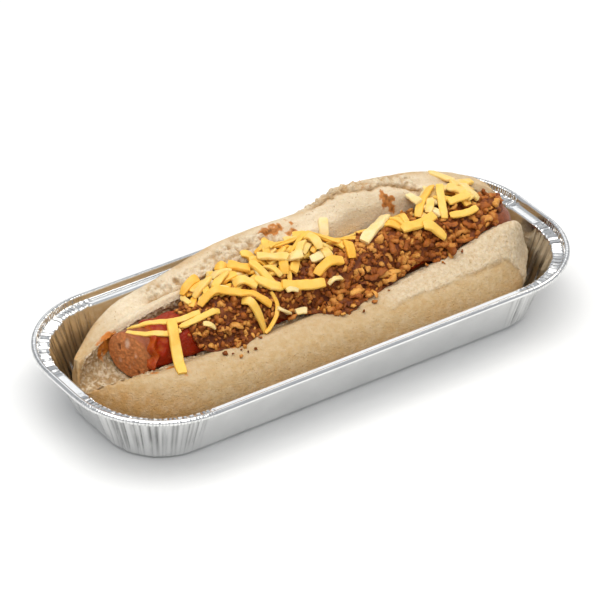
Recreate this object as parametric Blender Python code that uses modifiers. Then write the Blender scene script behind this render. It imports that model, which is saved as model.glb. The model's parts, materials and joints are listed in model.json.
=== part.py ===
"""A filled bread roll in an oblong aluminium foil tray: bread, sausage, sauce, fried onion and cheese shreds.

Metres, +Z up. X runs along the tray, Y across it, and the origin is the middle of the tray's underside.
The cut of the roll opens upwards, and its low half lies on the -Y side.
"""

import math
import random

import bmesh
import bpy
import numpy as np
from mathutils import Matrix, Vector
from mathutils.bvhtree import BVHTree

# Foil tray: outer size over the rolled bead, and its profile from the bead inwards.
TRAY_LENGTH = 0.266
TRAY_WIDTH = 0.115
TRAY_HEIGHT = 0.033
CORNER_RADIUS = 0.046
FOIL = 0.0003
BEAD_RADIUS = 0.0013
RIM_STEP = 0.0032
LEDGE_INSET = 0.0034
LEDGE_WIDTH = 0.0050
WALL_LEAN = 0.0100
BASE_FILLET = 0.0040
PLEATS_PER_CORNER = 7
PLEAT_DEPTH = 0.0005
LEDGE_PLEAT_DEPTH = 0.0003

# Pieces that lie on each other keep this clearance.
GAP = 0.0003
WELD_DISTANCE = 0.00001

# Bread roll, one piece with a deep cut along its top.
BREAD_LEFT = -0.1190
BREAD_RIGHT = 0.1190
LEFT_SHOULDER = -0.0640
RIGHT_SHOULDER = 0.0820
LEFT_TAPER = 2.25
RIGHT_TAPER = 2.5
BREAD_AXIS_HEIGHT = 0.0200
BREAD_CLEARANCE = 0.0010
BREAD_RINGS = 34
SAMPLES_PER_SPAN = 3
CREST_OFFSET = 0.0200
CUT_CLEARANCE = 0.0009
SLASH_DEPTH = 0.0016

# Height of the high half's skyline, seen from the low front left and given in the plane y = SKYLINE_Y.
# Rows: x, then the height.
SKYLINE = (
    (-0.1170, 0.0120), (-0.1140, 0.0197), (-0.1130, 0.0258), (-0.1115, 0.0291), (-0.1075, 0.0346),
    (-0.1035, 0.0397), (-0.0985, 0.0441), (-0.0930, 0.0475), (-0.0770, 0.0517), (-0.0545, 0.0575),
    (-0.0360, 0.0614), (-0.0110, 0.0622), (0.0080, 0.0617), (0.0230, 0.0640), (0.0300, 0.0670),
    (0.0400, 0.0671), (0.0560, 0.0648), (0.0810, 0.0596), (0.1070, 0.0484), (0.1200, 0.0384),
    (0.1240, 0.0330), (0.1280, 0.0240),
)
SKYLINE_Y = 0.0200
SKYLINE_SHIFT = 0.70
SKYLINE_DROP = 0.78
# x, then y of the roll's widest points at the front and at the back.
SIDES = (
    (-0.1190, 0.0000, 0.0090), (-0.1170, -0.0080, 0.0150), (-0.1150, -0.0127, 0.0185), (-0.1110, -0.0190, 0.0235),
    (-0.1070, -0.0234, 0.0280), (-0.1020, -0.0274, 0.0325), (-0.0970, -0.0305, 0.0362), (-0.0900, -0.0336, 0.0402),
    (-0.0800, -0.0363, 0.0430), (-0.0640, -0.0379, 0.0448), (-0.0300, -0.0388, 0.0442), (0.0100, -0.0398, 0.0432),
    (0.0500, -0.0408, 0.0422), (0.0800, -0.0410, 0.0412), (0.0900, -0.0402, 0.0398), (0.0980, -0.0378, 0.0360),
    (0.1040, -0.0332, 0.0320), (0.1080, -0.0284, 0.0285), (0.1120, -0.0228, 0.0240), (0.1160, -0.0172, 0.0180),
    (0.1180, -0.0130, 0.0120), (0.1190, -0.0070, 0.0060),
)
# x, then y and z of the low half's edge at the cut.
FRONT_LIP = (
    (-0.1190, 0.0000, 0.0220), (-0.1150, -0.0047, 0.0259), (-0.1110, -0.0082, 0.0279), (-0.1070, -0.0107, 0.0293),
    (-0.1020, -0.0130, 0.0306), (-0.0970, -0.0145, 0.0315), (-0.0640, -0.0151, 0.0320), (-0.0300, -0.0158, 0.0324),
    (0.0100, -0.0168, 0.0324), (0.0300, -0.0170, 0.0326), (0.0500, -0.0167, 0.0340), (0.0710, -0.0160, 0.0368),
    (0.0900, -0.0157, 0.0398), (0.1040, -0.0155, 0.0412), (0.1100, -0.0148, 0.0420), (0.1130, -0.0120, 0.0405),
    (0.1160, -0.0090, 0.0370), (0.1190, -0.0030, 0.0260),
)
# x, then y and z of the high half's edge at the cut.
BACK_LIP = (
    (-0.1190, 0.0060, 0.0220), (-0.1150, 0.0098, 0.0300), (-0.1070, 0.0120, 0.0350), (-0.1020, 0.0124, 0.0372),
    (-0.0956, 0.0122, 0.0385), (-0.0838, 0.0112, 0.0428), (-0.0704, 0.0110, 0.0452), (-0.0514, 0.0110, 0.0464),
    (-0.0296, 0.0110, 0.0490), (0.0037, 0.0106, 0.0483), (0.0262, 0.0104, 0.0460), (0.0490, 0.0100, 0.0463),
    (0.0720, 0.0100, 0.0490), (0.0894, 0.0098, 0.0486), (0.1072, 0.0096, 0.0450), (0.1130, 0.0080, 0.0405),
    (0.1170, 0.0050, 0.0330), (0.1190, 0.0020, 0.0250),
)
# x, then how open the two torn slashes of the high half are.
SLASH_OPENING = (
    (-0.1190, 0.0), (-0.0860, 0.0), (-0.0760, 0.8), (-0.0500, 1.0), (-0.0200, 0.9), (0.0000, 0.3),
    (0.0080, 0.5), (0.0250, 1.0), (0.0600, 0.9), (0.0780, 0.2), (0.0850, 0.0), (0.1190, 0.0),
)

# Sausage in the cut.
SAUSAGE_RADIUS = 0.0115
SAUSAGE_LEFT = -0.0970
SAUSAGE_RIGHT = 0.1160
SAUSAGE_CUT_ANGLE = math.radians(20)

# Sauce over the sausage.
SAUCE_LEFT = -0.0870
SAUCE_RIGHT = 0.1020
SAUCE_THICKNESS = 0.0011
# x, then the angle around the sausage at which the sauce ends on the low side.
SAUCE_LOW_EDGE = ((-0.0870, 168.0), (-0.0700, 177.0), (0.0300, 176.0), (0.0600, 165.0), (0.1020, 156.0))

# Heap of fried onion flakes along the low side. Rows: x, then an angle around the sausage, or a height.
ONION_LEFT = -0.0640
ONION_RIGHT = 0.1060
ONION_HIGH_EDGE = 58.0
ONION_CHIPS = 56
BEND_OF_CHIP = 0.25
ONION_LOW_EDGE = (
    (-0.0640, 150.0), (-0.0500, 176.0), (-0.0300, 181.0), (0.0000, 180.0), (0.0400, 174.0),
    (0.0700, 162.0), (0.0900, 152.0), (0.1060, 142.0),
)
ONION_HEIGHT = (
    (-0.0640, 0.0012), (-0.0450, 0.0034), (-0.0200, 0.0042), (0.0100, 0.0038), (0.0400, 0.0048),
    (0.0700, 0.0054), (0.0900, 0.0046), (0.1060, 0.0016),
)

# Cheese shreds. The heap's shreds are fused on a thin spine that lies along the onions' high side.
MM = 0.001
SPINE_LEFT = -0.0620
SPINE_RIGHT = 0.0980
SPINE_SHARE = 0.48
SPINE_COLUMNS = 3
SPINE_THICKNESS = 0.0014
SHRED_GAP = 0.0004
SHRED_SINK = 0.0008
SHRED_DROOP = 0.0004
SHRED_STEP = 0.0055
LOWEST_SHRED = 0.0330
PATCH = 0.0009
ABOVE_ALL = 0.2
# Millimetres: x and y of the start, the middle and the end, then width and thickness.
HEAP_SHREDS = (
    (-57.0, 7.5, -54.5, 8.5, -50.0, 8.0, 4.2, 2.0),
    (-60.0, 2.0, -55.0, 2.5, -50.0, 5.0, 4.0, 2.0),
    (-52.0, -3.0, -47.0, 2.0, -40.0, 5.0, 3.8, 1.8),
    (-46.0, 8.0, -42.0, 8.5, -37.0, 6.0, 5.0, 2.0),
    (-36.1, 9.0, -33.0, 6.0, -29.2, 1.5, 5.0, 1.8),
    (-27.7, 4.4, -26.0, -1.0, -23.5, -8.6, 4.6, 1.8),
    (-41.0, 0.0, -37.0, -4.0, -32.1, -8.4, 4.6, 1.8),
    (-22.0, 7.5, -16.0, 3.5, -12.0, -3.0, 4.4, 1.8),
    (-12.0, 7.0, -3.0, 4.5, 8.6, 5.1, 2.2, 1.6),
    (-8.8, 0.0, 4.0, 2.5, 18.0, 1.0, 2.4, 1.6),
    (0.0, 8.0, 4.0, 3.0, 5.0, -4.0, 4.2, 1.8),
    (14.0, 8.5, 18.0, 2.0, 19.0, -5.0, 4.4, 1.8),
    (17.9, 7.0, 23.0, 4.0, 27.8, -0.4, 3.0, 1.8),
    (24.0, 7.5, 33.0, 7.5, 42.0, 5.0, 4.0, 1.8),
    (44.0, 8.0, 49.0, 2.0, 52.6, -6.1, 4.0, 1.8),
    (57.0, 7.5, 58.0, 2.0, 62.0, -4.0, 4.0, 1.8),
    (61.2, -2.9, 68.0, 4.0, 73.0, 8.0, 4.2, 1.8),
    (82.4, 8.0, 77.0, 1.0, 71.6, -8.5, 4.0, 1.8),
    (77.8, -4.1, 83.0, -4.5, 88.2, -6.3, 4.2, 1.8),
    (86.0, 8.0, 88.0, 2.0, 87.0, -4.0, 4.4, 1.8),
    (94.0, 7.0, 92.0, 1.0, 95.0, -4.0, 4.4, 1.8),
    (-60.8, -2.1, -43.0, -5.0, -28.9, -13.0, 3.8, 1.8),
    (-45.0, -6.0, -41.5, -12.0, -37.0, -17.0, 4.2, 1.8),
    (-31.0, -8.0, -29.0, -15.0, -34.0, -21.0, 2.0, 1.6),
    (-24.0, -7.0, -14.0, -10.0, -4.0, -13.5, 4.8, 1.8),
    (-5.0, -6.0, 4.0, -9.5, 13.5, -9.0, 4.8, 1.8),
    (21.6, -1.5, 38.0, -0.5, 55.8, 4.5, 5.4, 2.0),
    (46.0, -7.0, 56.0, -7.5, 66.5, -7.3, 4.8, 2.0),
    (8.0, -2.0, 13.0, -6.0, 18.0, -11.0, 4.6, 1.8),
    (60.0, -7.0, 64.0, -11.0, 67.2, -15.0, 4.8, 1.8),
    (75.7, -6.3, 83.0, -9.0, 89.6, -9.5, 3.6, 1.8),
    (-88.5, 3.0, -74.5, -1.8, -56.0, -1.0, 3.2, 1.8),
    (-80.0, -6.5, -66.0, -7.0, -50.0, -6.0, 3.2, 1.8),
)
LOOSE_SHREDS = {
    "cheese_shred_low": (-74.5, 1.0, -79.7, -12.4, -84.2, -24.0, 5.0, 1.8),
    "cheese_shred_high": (22.5, 18.5, 20.5, 14.5, 18.5, 11.0, 4.6, 1.8),
    "cheese_shred_crest": (84.5, 22.0, 89.0, 19.0, 94.0, 15.5, 4.4, 1.8),
}

# Colours, linear RGB.
FOIL_GREY = (0.72, 0.72, 0.71)
CRUST_CREAM = (0.62, 0.44, 0.24)
SAUSAGE_BROWN = (0.30, 0.11, 0.05)
SAUCE_RED = (0.30, 0.03, 0.008)
ONION_BROWN = (0.34, 0.14, 0.045)
CHEESE_YELLOW = (0.85, 0.55, 0.14)


def clear_scene():
    for old in list(bpy.data.objects):
        bpy.data.objects.remove(old, do_unlink=True)


def plain_material(name, colour, roughness, metallic=0.0):
    material = bpy.data.materials.new(name)
    material.use_nodes = True
    shader = material.node_tree.nodes["Principled BSDF"]
    shader.inputs["Base Color"].default_value = (*colour, 1.0)
    shader.inputs["Roughness"].default_value = roughness
    shader.inputs["Metallic"].default_value = metallic
    return material


def add_mesh(name, mesh, collection, material):
    mesh.materials.clear()
    mesh.materials.append(material)
    mesh.shade_smooth()
    mesh.set_sharp_from_angle(angle=math.radians(40))
    piece = bpy.data.objects.new(name, mesh)
    collection.objects.link(piece)
    return piece


# Foil tray

def arc(centre, radius, start, end, steps):
    """Points of a circle's arc in the (inset, height) plane, angles in degrees from the inset axis."""
    return [
        (centre[0] + radius * math.cos(math.radians(a)), centre[1] + radius * math.sin(math.radians(a)))
        for a in np.linspace(start, end, steps)
    ]


def tray_profile():
    """Middle line of the foil from the flat base out to the curl of the bead, as (inset, height) points."""
    ledge_height = TRAY_HEIGHT - RIM_STEP
    wall_top = LEDGE_INSET + LEDGE_WIDTH
    lean = math.degrees(math.atan(WALL_LEAN / ledge_height))
    fillet_centre = (wall_top + WALL_LEAN + BASE_FILLET * 0.75, FOIL / 2 + BASE_FILLET)
    bead_centre = (BEAD_RADIUS + FOIL / 2, TRAY_HEIGHT - BEAD_RADIUS - FOIL / 2)
    points = arc(fillet_centre, BASE_FILLET, 270, 180 + lean, 4)
    points.append((wall_top + WALL_LEAN * 0.5, ledge_height * 0.5))
    points.append((wall_top + 0.0006, ledge_height - 0.0012))
    points.append((wall_top - 0.0006, ledge_height))
    points.append((LEDGE_INSET + 0.0004, ledge_height + 0.0001))
    points.append((LEDGE_INSET - 0.0003, ledge_height + 0.0008))
    points += arc(bead_centre, BEAD_RADIUS, 0, 270, 7)
    return points


def plan_outline(inset):
    """Rounded rectangle of the tray at this inset: (x, y, outward direction, pleat number or None)."""
    half_length, half_width = TRAY_LENGTH / 2, TRAY_WIDTH / 2
    radius = CORNER_RADIUS - inset
    columns = 2 * PLEATS_PER_CORNER
    outline = []
    for quarter, (sx, sy) in enumerate(((1, 1), (-1, 1), (-1, -1), (1, -1))):
        centre = (sx * (half_length - CORNER_RADIUS), sy * (half_width - CORNER_RADIUS))
        for column in range(columns + 1):
            angle = math.radians(90 * quarter + 90 * column / columns)
            out = Vector((math.cos(angle), math.sin(angle)))
            pleat = None if column in (0, columns) else column
            outline.append((centre[0] + radius * out.x, centre[1] + radius * out.y, out, pleat))
    return outline


def make_tray(collection):
    """An open foil sheet, grown ring by ring from the base outline up to the bead, then thickened."""
    sheet = bmesh.new()
    rings = []
    profile = tray_profile()
    wall_rows = range(3, 7)
    ledge_rows = range(7, 9)
    for row, (inset, height) in enumerate(profile):
        ring = []
        for x, y, out, pleat in plan_outline(inset):
            fold = 0 if pleat is None else (1 if pleat % 2 else -1)
            push = PLEAT_DEPTH * fold if row in wall_rows else 0.0
            lift = LEDGE_PLEAT_DEPTH * fold if row in ledge_rows else 0.0
            ring.append(sheet.verts.new((x + out.x * push, y + out.y * push, height + lift)))
        rings.append(ring)
    sheet.faces.new(rings[0])
    for low, high in zip(rings, rings[1:]):
        for i in range(len(low)):
            j = (i + 1) % len(low)
            sheet.faces.new((low[i], low[j], high[j], high[i]))
    bmesh.ops.recalc_face_normals(sheet, faces=sheet.faces)
    mesh = bpy.data.meshes.new("tray")
    sheet.to_mesh(mesh)
    sheet.free()
    tray = add_mesh("foil_tray", mesh, collection, plain_material("foil", FOIL_GREY, 0.3, 1.0))
    wall = tray.modifiers.new("foil_thickness", "SOLIDIFY")
    wall.thickness = FOIL
    wall.offset = 0.0
    return tray


# Bread roll

def smooth_row(table, x):
    """Values of the table's columns at this x, on a smooth curve through its rows."""
    rows = np.array(table)
    stations, values = rows[:, 0], rows[:, 1:]
    slopes = np.gradient(values, stations, axis=0)
    at = min(max(int(np.searchsorted(stations, x)) - 1, 0), len(rows) - 2)
    span = stations[at + 1] - stations[at]
    t = min(max((x - stations[at]) / span, 0.0), 1.0)
    start, end = values[at], values[at + 1]
    rise, fall = slopes[at] * span, slopes[at + 1] * span
    return (
        (2 * t**3 - 3 * t**2 + 1) * start + (t**3 - 2 * t**2 + t) * rise
        + (3 * t**2 - 2 * t**3) * end + (t**3 - t**2) * fall
    )


def fullness(x):
    """How full the roll is at this x: 1 in the middle, falling to 0 at its two ends."""
    if x < LEFT_SHOULDER:
        t, power = (LEFT_SHOULDER - x) / (LEFT_SHOULDER - BREAD_LEFT), LEFT_TAPER
    elif x > RIGHT_SHOULDER:
        t, power = (x - RIGHT_SHOULDER) / (BREAD_RIGHT - RIGHT_SHOULDER), RIGHT_TAPER
    else:
        return 1.0
    return max(0.0, 1.0 - t**power) ** (1 / power)


def sausage_axis(x):
    """(y, z) of the sausage's centre line."""
    along = (x - SAUSAGE_LEFT) / (SAUSAGE_RIGHT - SAUSAGE_LEFT)
    return (0.0005 - 0.0035 * along, 0.0335 + 0.0020 * along)


def smooth_line(controls, samples):
    """Catmull-Rom line through the control points, its last point left out."""
    controls = [np.array(p) for p in controls]
    padded = [2 * controls[0] - controls[1], *controls, 2 * controls[-1] - controls[-2]]
    line = []
    for a, b, c, d in zip(padded, padded[1:], padded[2:], padded[3:]):
        for t in np.arange(samples) / samples:
            line.append(
                0.5 * (2 * b + (c - a) * t + (2 * a - 5 * b + 4 * c - d) * t**2 + (3 * b - a - 3 * c + d) * t**3)
            )
    return line


def wall_inset(height):
    """How far in from the outer rim the bread has to stay at this height."""
    wall = tray_profile()[:6]
    return float(np.interp(height, [z for _, z in wall], [inset for inset, _ in wall])) + BREAD_CLEARANCE


def keep_in_tray(x, y, z):
    """The same point, drawn in towards the middle where it would touch the foil."""
    z = max(z, FOIL + GAP)
    inset = wall_inset(z)
    if z > TRAY_HEIGHT - RIM_STEP:
        return y, z
    beyond = abs(x) - (TRAY_LENGTH / 2 - CORNER_RADIUS)
    radius = CORNER_RADIUS - inset
    reach = radius if beyond <= 0 else math.sqrt(max(0.0, radius**2 - beyond**2))
    limit = TRAY_WIDTH / 2 - CORNER_RADIUS + reach
    return max(-limit, min(limit, y)), z


def skyline_height(x, y):
    """Height at (x, y) that just reaches the skyline."""
    beyond = y - SKYLINE_Y
    return float(smooth_row(SKYLINE, x - SKYLINE_SHIFT * beyond)[0]) - SKYLINE_DROP * beyond


def bread_section(x):
    """The roll's outline across the tray at this x, as (y, z) points: crust first, then the faces of the cut."""
    full = fullness(x)
    axis_y = 0.0030 - 0.025 * x
    sausage_y, sausage_z = sausage_axis(x)
    front, back = smooth_row(SIDES, x)
    front_lip_y, front_lip_z = smooth_row(FRONT_LIP, x)
    back_lip_y, back_lip_z = smooth_row(BACK_LIP, x)
    slash = SLASH_DEPTH * float(smooth_row(SLASH_OPENING, x)[0])
    open_cut = min(1.0, 1.2 * full)

    def level(z):
        return BREAD_AXIS_HEIGHT + (z - BREAD_AXIS_HEIGHT) * full

    def cut(degrees):
        angle = math.radians(degrees)
        centre_y = axis_y + (sausage_y - axis_y) * open_cut
        radius = (SAUSAGE_RADIUS + CUT_CLEARANCE) * open_cut
        centre_z = BREAD_AXIS_HEIGHT + (sausage_z - BREAD_AXIS_HEIGHT) * open_cut
        return (centre_y + radius * math.cos(angle), centre_z + radius * math.sin(angle))

    front_lip = (front_lip_y, front_lip_z)
    back_lip = (back_lip_y, back_lip_z)
    crest_y = axis_y + CREST_OFFSET * full
    crest = skyline_height(x, crest_y)
    rise = crest - back_lip_z
    shoulder_y = back - 0.0060 * full
    shoulder_z = max(skyline_height(x, shoulder_y) - 0.0026, level(0.0290))
    crust_line = [
        front_lip,
        (front_lip_y - 0.0065 * full, front_lip_z + 0.0020 * full),
        (front + 0.0045 * full, level(0.0295)),
        (front, level(0.0170)),
        (front + 0.0095 * full, level(0.0045)),
        (axis_y - 0.0120 * full, level(FOIL + GAP)),
        (axis_y + 0.0160 * full, level(FOIL + GAP)),
        (back - 0.0085 * full, level(0.0055)),
        (back, level(0.0200)),
        (shoulder_y, shoulder_z),
        (crest_y + 0.0030 * full, crest - 0.0022),
        (crest_y - 0.0022 * full, crest - 0.0020),
        (crest_y - 0.0030 * full + slash, crest - 0.0042 * full - slash * 0.6),
        (back_lip_y + 0.0022 * full, back_lip_z + 0.55 * rise),
        back_lip,
    ]
    cut_line = [back_lip, cut(25), cut(-20), cut(-65), cut(-110), cut(-155), front_lip]
    outline = smooth_line(crust_line, SAMPLES_PER_SPAN) + smooth_line(cut_line, SAMPLES_PER_SPAN)
    return [keep_in_tray(x, y, z) for y, z in outline]


def make_bread(collection):
    """Sections lofted along x, closer together towards the two tips."""
    body = bmesh.new()
    middle, half = (BREAD_LEFT + BREAD_RIGHT) / 2, (BREAD_RIGHT - BREAD_LEFT) / 2
    rings = []
    for step in range(BREAD_RINGS):
        x = middle - half * 0.9985 * math.cos(math.pi * step / (BREAD_RINGS - 1))
        rings.append([body.verts.new((x, y, z)) for y, z in bread_section(x)])
    for near, far in zip(rings, rings[1:]):
        for i in range(len(near)):
            j = (i + 1) % len(near)
            body.faces.new((near[i], near[j], far[j], far[i]))
    body.faces.new(rings[0])
    body.faces.new(rings[-1][::-1])
    bmesh.ops.recalc_face_normals(body, faces=body.faces)
    mesh = bpy.data.meshes.new("bread")
    body.to_mesh(mesh)
    body.free()
    return add_mesh("bread_roll", mesh, collection, plain_material("crust", CRUST_CREAM, 0.75))


def make_sausage(collection):
    """A turned rod along the cut, its left end sliced at an angle and its right end round."""
    steps, sides = 18, 16
    body = bmesh.new()
    rings = []
    for step in range(steps + 1):
        x = SAUSAGE_LEFT + (SAUSAGE_RIGHT - SAUSAGE_LEFT - 0.0005) * (1 - (1 - step / steps) ** 1.6)
        rest = (SAUSAGE_RIGHT - x) / SAUSAGE_RADIUS
        radius = SAUSAGE_RADIUS * math.sqrt(max(0.0, 1 - max(0.0, 1 - rest) ** 2))
        centre_y, centre_z = sausage_axis(x)
        ring = []
        for side in range(sides):
            angle = 2 * math.pi * side / sides
            y, z = radius * math.cos(angle), radius * math.sin(angle)
            slant = -y * math.tan(SAUSAGE_CUT_ANGLE) * max(0.0, 1 - step / 4)
            ring.append(body.verts.new((x + slant, centre_y + y, centre_z + z)))
        rings.append(ring)
    for near, far in zip(rings, rings[1:]):
        for i in range(sides):
            j = (i + 1) % sides
            body.faces.new((near[i], near[j], far[j], far[i]))
    body.faces.new(rings[0])
    body.faces.new(rings[-1][::-1])
    bmesh.ops.recalc_face_normals(body, faces=body.faces)
    mesh = bpy.data.meshes.new("sausage")
    body.to_mesh(mesh)
    body.free()
    return add_mesh("sausage", mesh, collection, plain_material("sausage_meat", SAUSAGE_BROWN, 0.45))


# Toppings

def around_sausage(x, radius, degrees):
    """Point at this distance and angle around the sausage's centre line, 90 degrees being straight up."""
    centre_y, centre_z = sausage_axis(x)
    angle = math.radians(degrees)
    return Vector((x, centre_y + radius * math.cos(angle), centre_z + radius * math.sin(angle)))


def make_blanket(stations, inner_radius, thickness, low_edge, high_edge, columns):
    """Closed sheet wrapped over the sausage between two angles, its thickness given by a function of (x, share)."""
    body = bmesh.new()
    layers = []
    for outside in (False, True):
        grid = []
        for x in stations:
            row = []
            for column in range(columns + 1):
                share = column / columns
                degrees = high_edge(x) + (low_edge(x) - high_edge(x)) * share
                radius = inner_radius + (thickness(x, share) if outside else 0.0)
                row.append(body.verts.new(around_sausage(x, radius, degrees)))
            grid.append(row)
        layers.append(grid)
    inner, outer = layers
    last = len(stations) - 1
    for i in range(last):
        for j in range(columns):
            body.faces.new((inner[i][j], inner[i][j + 1], inner[i + 1][j + 1], inner[i + 1][j]))
            body.faces.new((outer[i][j], outer[i + 1][j], outer[i + 1][j + 1], outer[i][j + 1]))
        for j in (0, columns):
            body.faces.new((inner[i][j], inner[i + 1][j], outer[i + 1][j], outer[i][j]))
    for i in (0, last):
        for j in range(columns):
            body.faces.new((inner[i][j], outer[i][j], outer[i][j + 1], inner[i][j + 1]))
    bmesh.ops.recalc_face_normals(body, faces=body.faces)
    mesh = bpy.data.meshes.new("blanket")
    body.to_mesh(mesh)
    body.free()
    return mesh


def make_sauce(collection):
    """Sauce poured over the sausage."""
    ripple = random.Random(3)
    waves = [(ripple.uniform(60, 190), ripple.uniform(0, 6)) for _ in range(3)]

    def thickness(x, share):
        swell = sum(math.sin(pitch * x + phase) for pitch, phase in waves) / 3
        return SAUCE_THICKNESS * (1 + 0.25 * swell)

    def low_edge(x):
        return float(smooth_row(SAUCE_LOW_EDGE, x)[0])

    def high_edge(x):
        return 55.0

    stations = np.linspace(SAUCE_LEFT, SAUCE_RIGHT, 16)
    mesh = make_blanket(stations, SAUSAGE_RADIUS + GAP, thickness, low_edge, high_edge, 6)
    return add_mesh("sauce", mesh, collection, plain_material("red_sauce", SAUCE_RED, 0.25))


def chip_mesh(chance, centre, outward, length, width, thickness):
    """A crooked flake with eight corners, lying roughly square to the outward direction."""
    lift = outward + Vector([chance.uniform(-0.7, 0.7) for _ in range(3)])
    turn = lift.to_track_quat("Z", "Y")
    spin = Matrix.Rotation(chance.uniform(0, math.tau), 3, "Z")
    corners = []
    for z in (-1, 1):
        for x, y in ((-1, -1), (1, -1), (1, 1), (-1, 1)):
            shape = [chance.uniform(0.65, 1.0) for _ in range(3)]
            corner = Vector((x * length * shape[0], y * width * shape[1], z * thickness * shape[2])) / 2
            corner.z += BEND_OF_CHIP * length * (abs(corner.x) / length) ** 2
            corners.append(centre + turn @ (spin @ corner))
    mesh = bpy.data.meshes.new("chip")
    mesh.from_pydata(corners, [], [(3, 2, 1, 0), (4, 5, 6, 7), (0, 1, 5, 4), (1, 2, 6, 5), (2, 3, 7, 6), (3, 0, 4, 7)])
    return mesh


def tree_of(mesh):
    return BVHTree.FromPolygons([v.co.copy() for v in mesh.vertices], [tuple(f.vertices) for f in mesh.polygons])


def touches(mesh, trees):
    own = tree_of(mesh)
    return any(own.overlap(tree) for tree in trees)


def evaluated_mesh(piece):
    graph = bpy.context.evaluated_depsgraph_get()
    return bpy.data.meshes.new_from_object(piece.evaluated_get(graph), depsgraph=graph)


def fuse(core, pieces):
    """One closed body of the core and the pieces that stand on it; loose scraps are dropped."""
    joined = bpy.data.collections.new("joined")
    bpy.context.scene.collection.children.link(joined)
    trunk = bpy.data.objects.new("core", core)
    bpy.context.scene.collection.objects.link(trunk)
    for mesh in pieces:
        joined.objects.link(bpy.data.objects.new("piece", mesh))
    union = trunk.modifiers.new("union", "BOOLEAN")
    union.operation = "UNION"
    union.operand_type = "COLLECTION"
    union.collection = joined
    union.solver = "MANIFOLD"
    result = evaluated_mesh(trunk)
    for old in [trunk, *joined.objects]:
        bpy.data.objects.remove(old, do_unlink=True)
    bpy.data.collections.remove(joined)
    keep_largest(result)
    return result


def keep_largest(mesh):
    """Removes slivers and every shell but the largest, also shells that touch it only at a corner."""
    body = bmesh.new()
    body.from_mesh(mesh)
    bmesh.ops.remove_doubles(body, verts=body.verts, dist=WELD_DISTANCE)
    bmesh.ops.dissolve_degenerate(body, edges=body.edges, dist=WELD_DISTANCE)
    bmesh.ops.triangulate(body, faces=body.faces)
    left = set(body.faces)
    shells = []
    while left:
        stack = [left.pop()]
        shell = []
        while stack:
            face = stack.pop()
            shell.append(face)
            for edge in face.edges:
                for other in edge.link_faces:
                    if other in left:
                        left.remove(other)
                        stack.append(other)
        shells.append(shell)
    shells.sort(key=len)
    for shell in shells[:-1]:
        bmesh.ops.delete(body, geom=shell, context="FACES")
    body.to_mesh(mesh)
    body.free()


def onion_edge(x):
    """Angle around the sausage at which the onion heap ends on the low side."""
    return float(smooth_row(ONION_LOW_EDGE, x)[0])


def onion_thickness(x, share):
    """Thickness of the heap's core at this x, thinner towards both of its edges."""
    height = float(smooth_row(ONION_HEIGHT, x)[0])
    return height * (0.30 + 0.70 * math.sin(math.pi * share**1.3) ** 0.8)


def make_onions(collection, ground):
    chance = random.Random(11)
    stations = np.linspace(ONION_LEFT, ONION_RIGHT, 22)
    inner = SAUSAGE_RADIUS + GAP + SAUCE_THICKNESS * 1.3 + GAP
    core = make_blanket(stations, inner, onion_thickness, onion_edge, lambda x: ONION_HIGH_EDGE, 5)
    chips = []
    for _ in range(ONION_CHIPS * 6):
        if len(chips) == ONION_CHIPS:
            break
        x = chance.uniform(ONION_LEFT, ONION_RIGHT)
        share = chance.uniform(SPINE_SHARE, 1.0)
        degrees = ONION_HIGH_EDGE + (onion_edge(x) - ONION_HIGH_EDGE) * share
        spot = around_sausage(x, inner + onion_thickness(x, share), degrees)
        outward = (spot - around_sausage(x, 0.0, degrees)).normalized()
        size = chance.uniform(0.0040, 0.0090)
        chip = chip_mesh(chance, spot + outward * 0.0002, outward, size, size * chance.uniform(0.4, 0.7), 0.0014)
        if not touches(chip, ground):
            chips.append(chip)
    mesh = fuse(core, chips)
    return add_mesh("fried_onions", mesh, collection, plain_material("fried_onion", ONION_BROWN, 0.7))


def ground_height(trees, x, y):
    """Height of the topmost surface in a small patch around (x, y), or None where nothing lies below."""
    heights = []
    for dx, dy in ((0, 0), (PATCH, 0), (-PATCH, 0), (0, PATCH), (0, -PATCH)):
        for tree in trees:
            spot = tree.ray_cast(Vector((x + dx, y + dy, ABOVE_ALL)), Vector((0, 0, -1)))[0]
            if spot is not None:
                heights.append(spot.z)
    return max(heights, default=None)


def curve_points(start, middle, end, steps):
    """Points on the parabola through three plan points."""
    line = []
    for t in np.linspace(0, 1, steps + 1):
        weights = (2 * (t - 0.5) * (t - 1), -4 * t * (t - 1), 2 * t * (t - 0.5))
        line.append(tuple(sum(w * p[k] for w, p in zip(weights, (start, middle, end))) for k in range(2)))
    return line


def stiffened(heights, droop):
    """Raises each height until the line sags no more than the droop between its neighbours."""
    heights = list(heights)
    for _ in range(12):
        for i in range(1, len(heights) - 1):
            heights[i] = max(heights[i], (heights[i - 1] + heights[i + 1]) / 2 - droop)
    return heights


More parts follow.
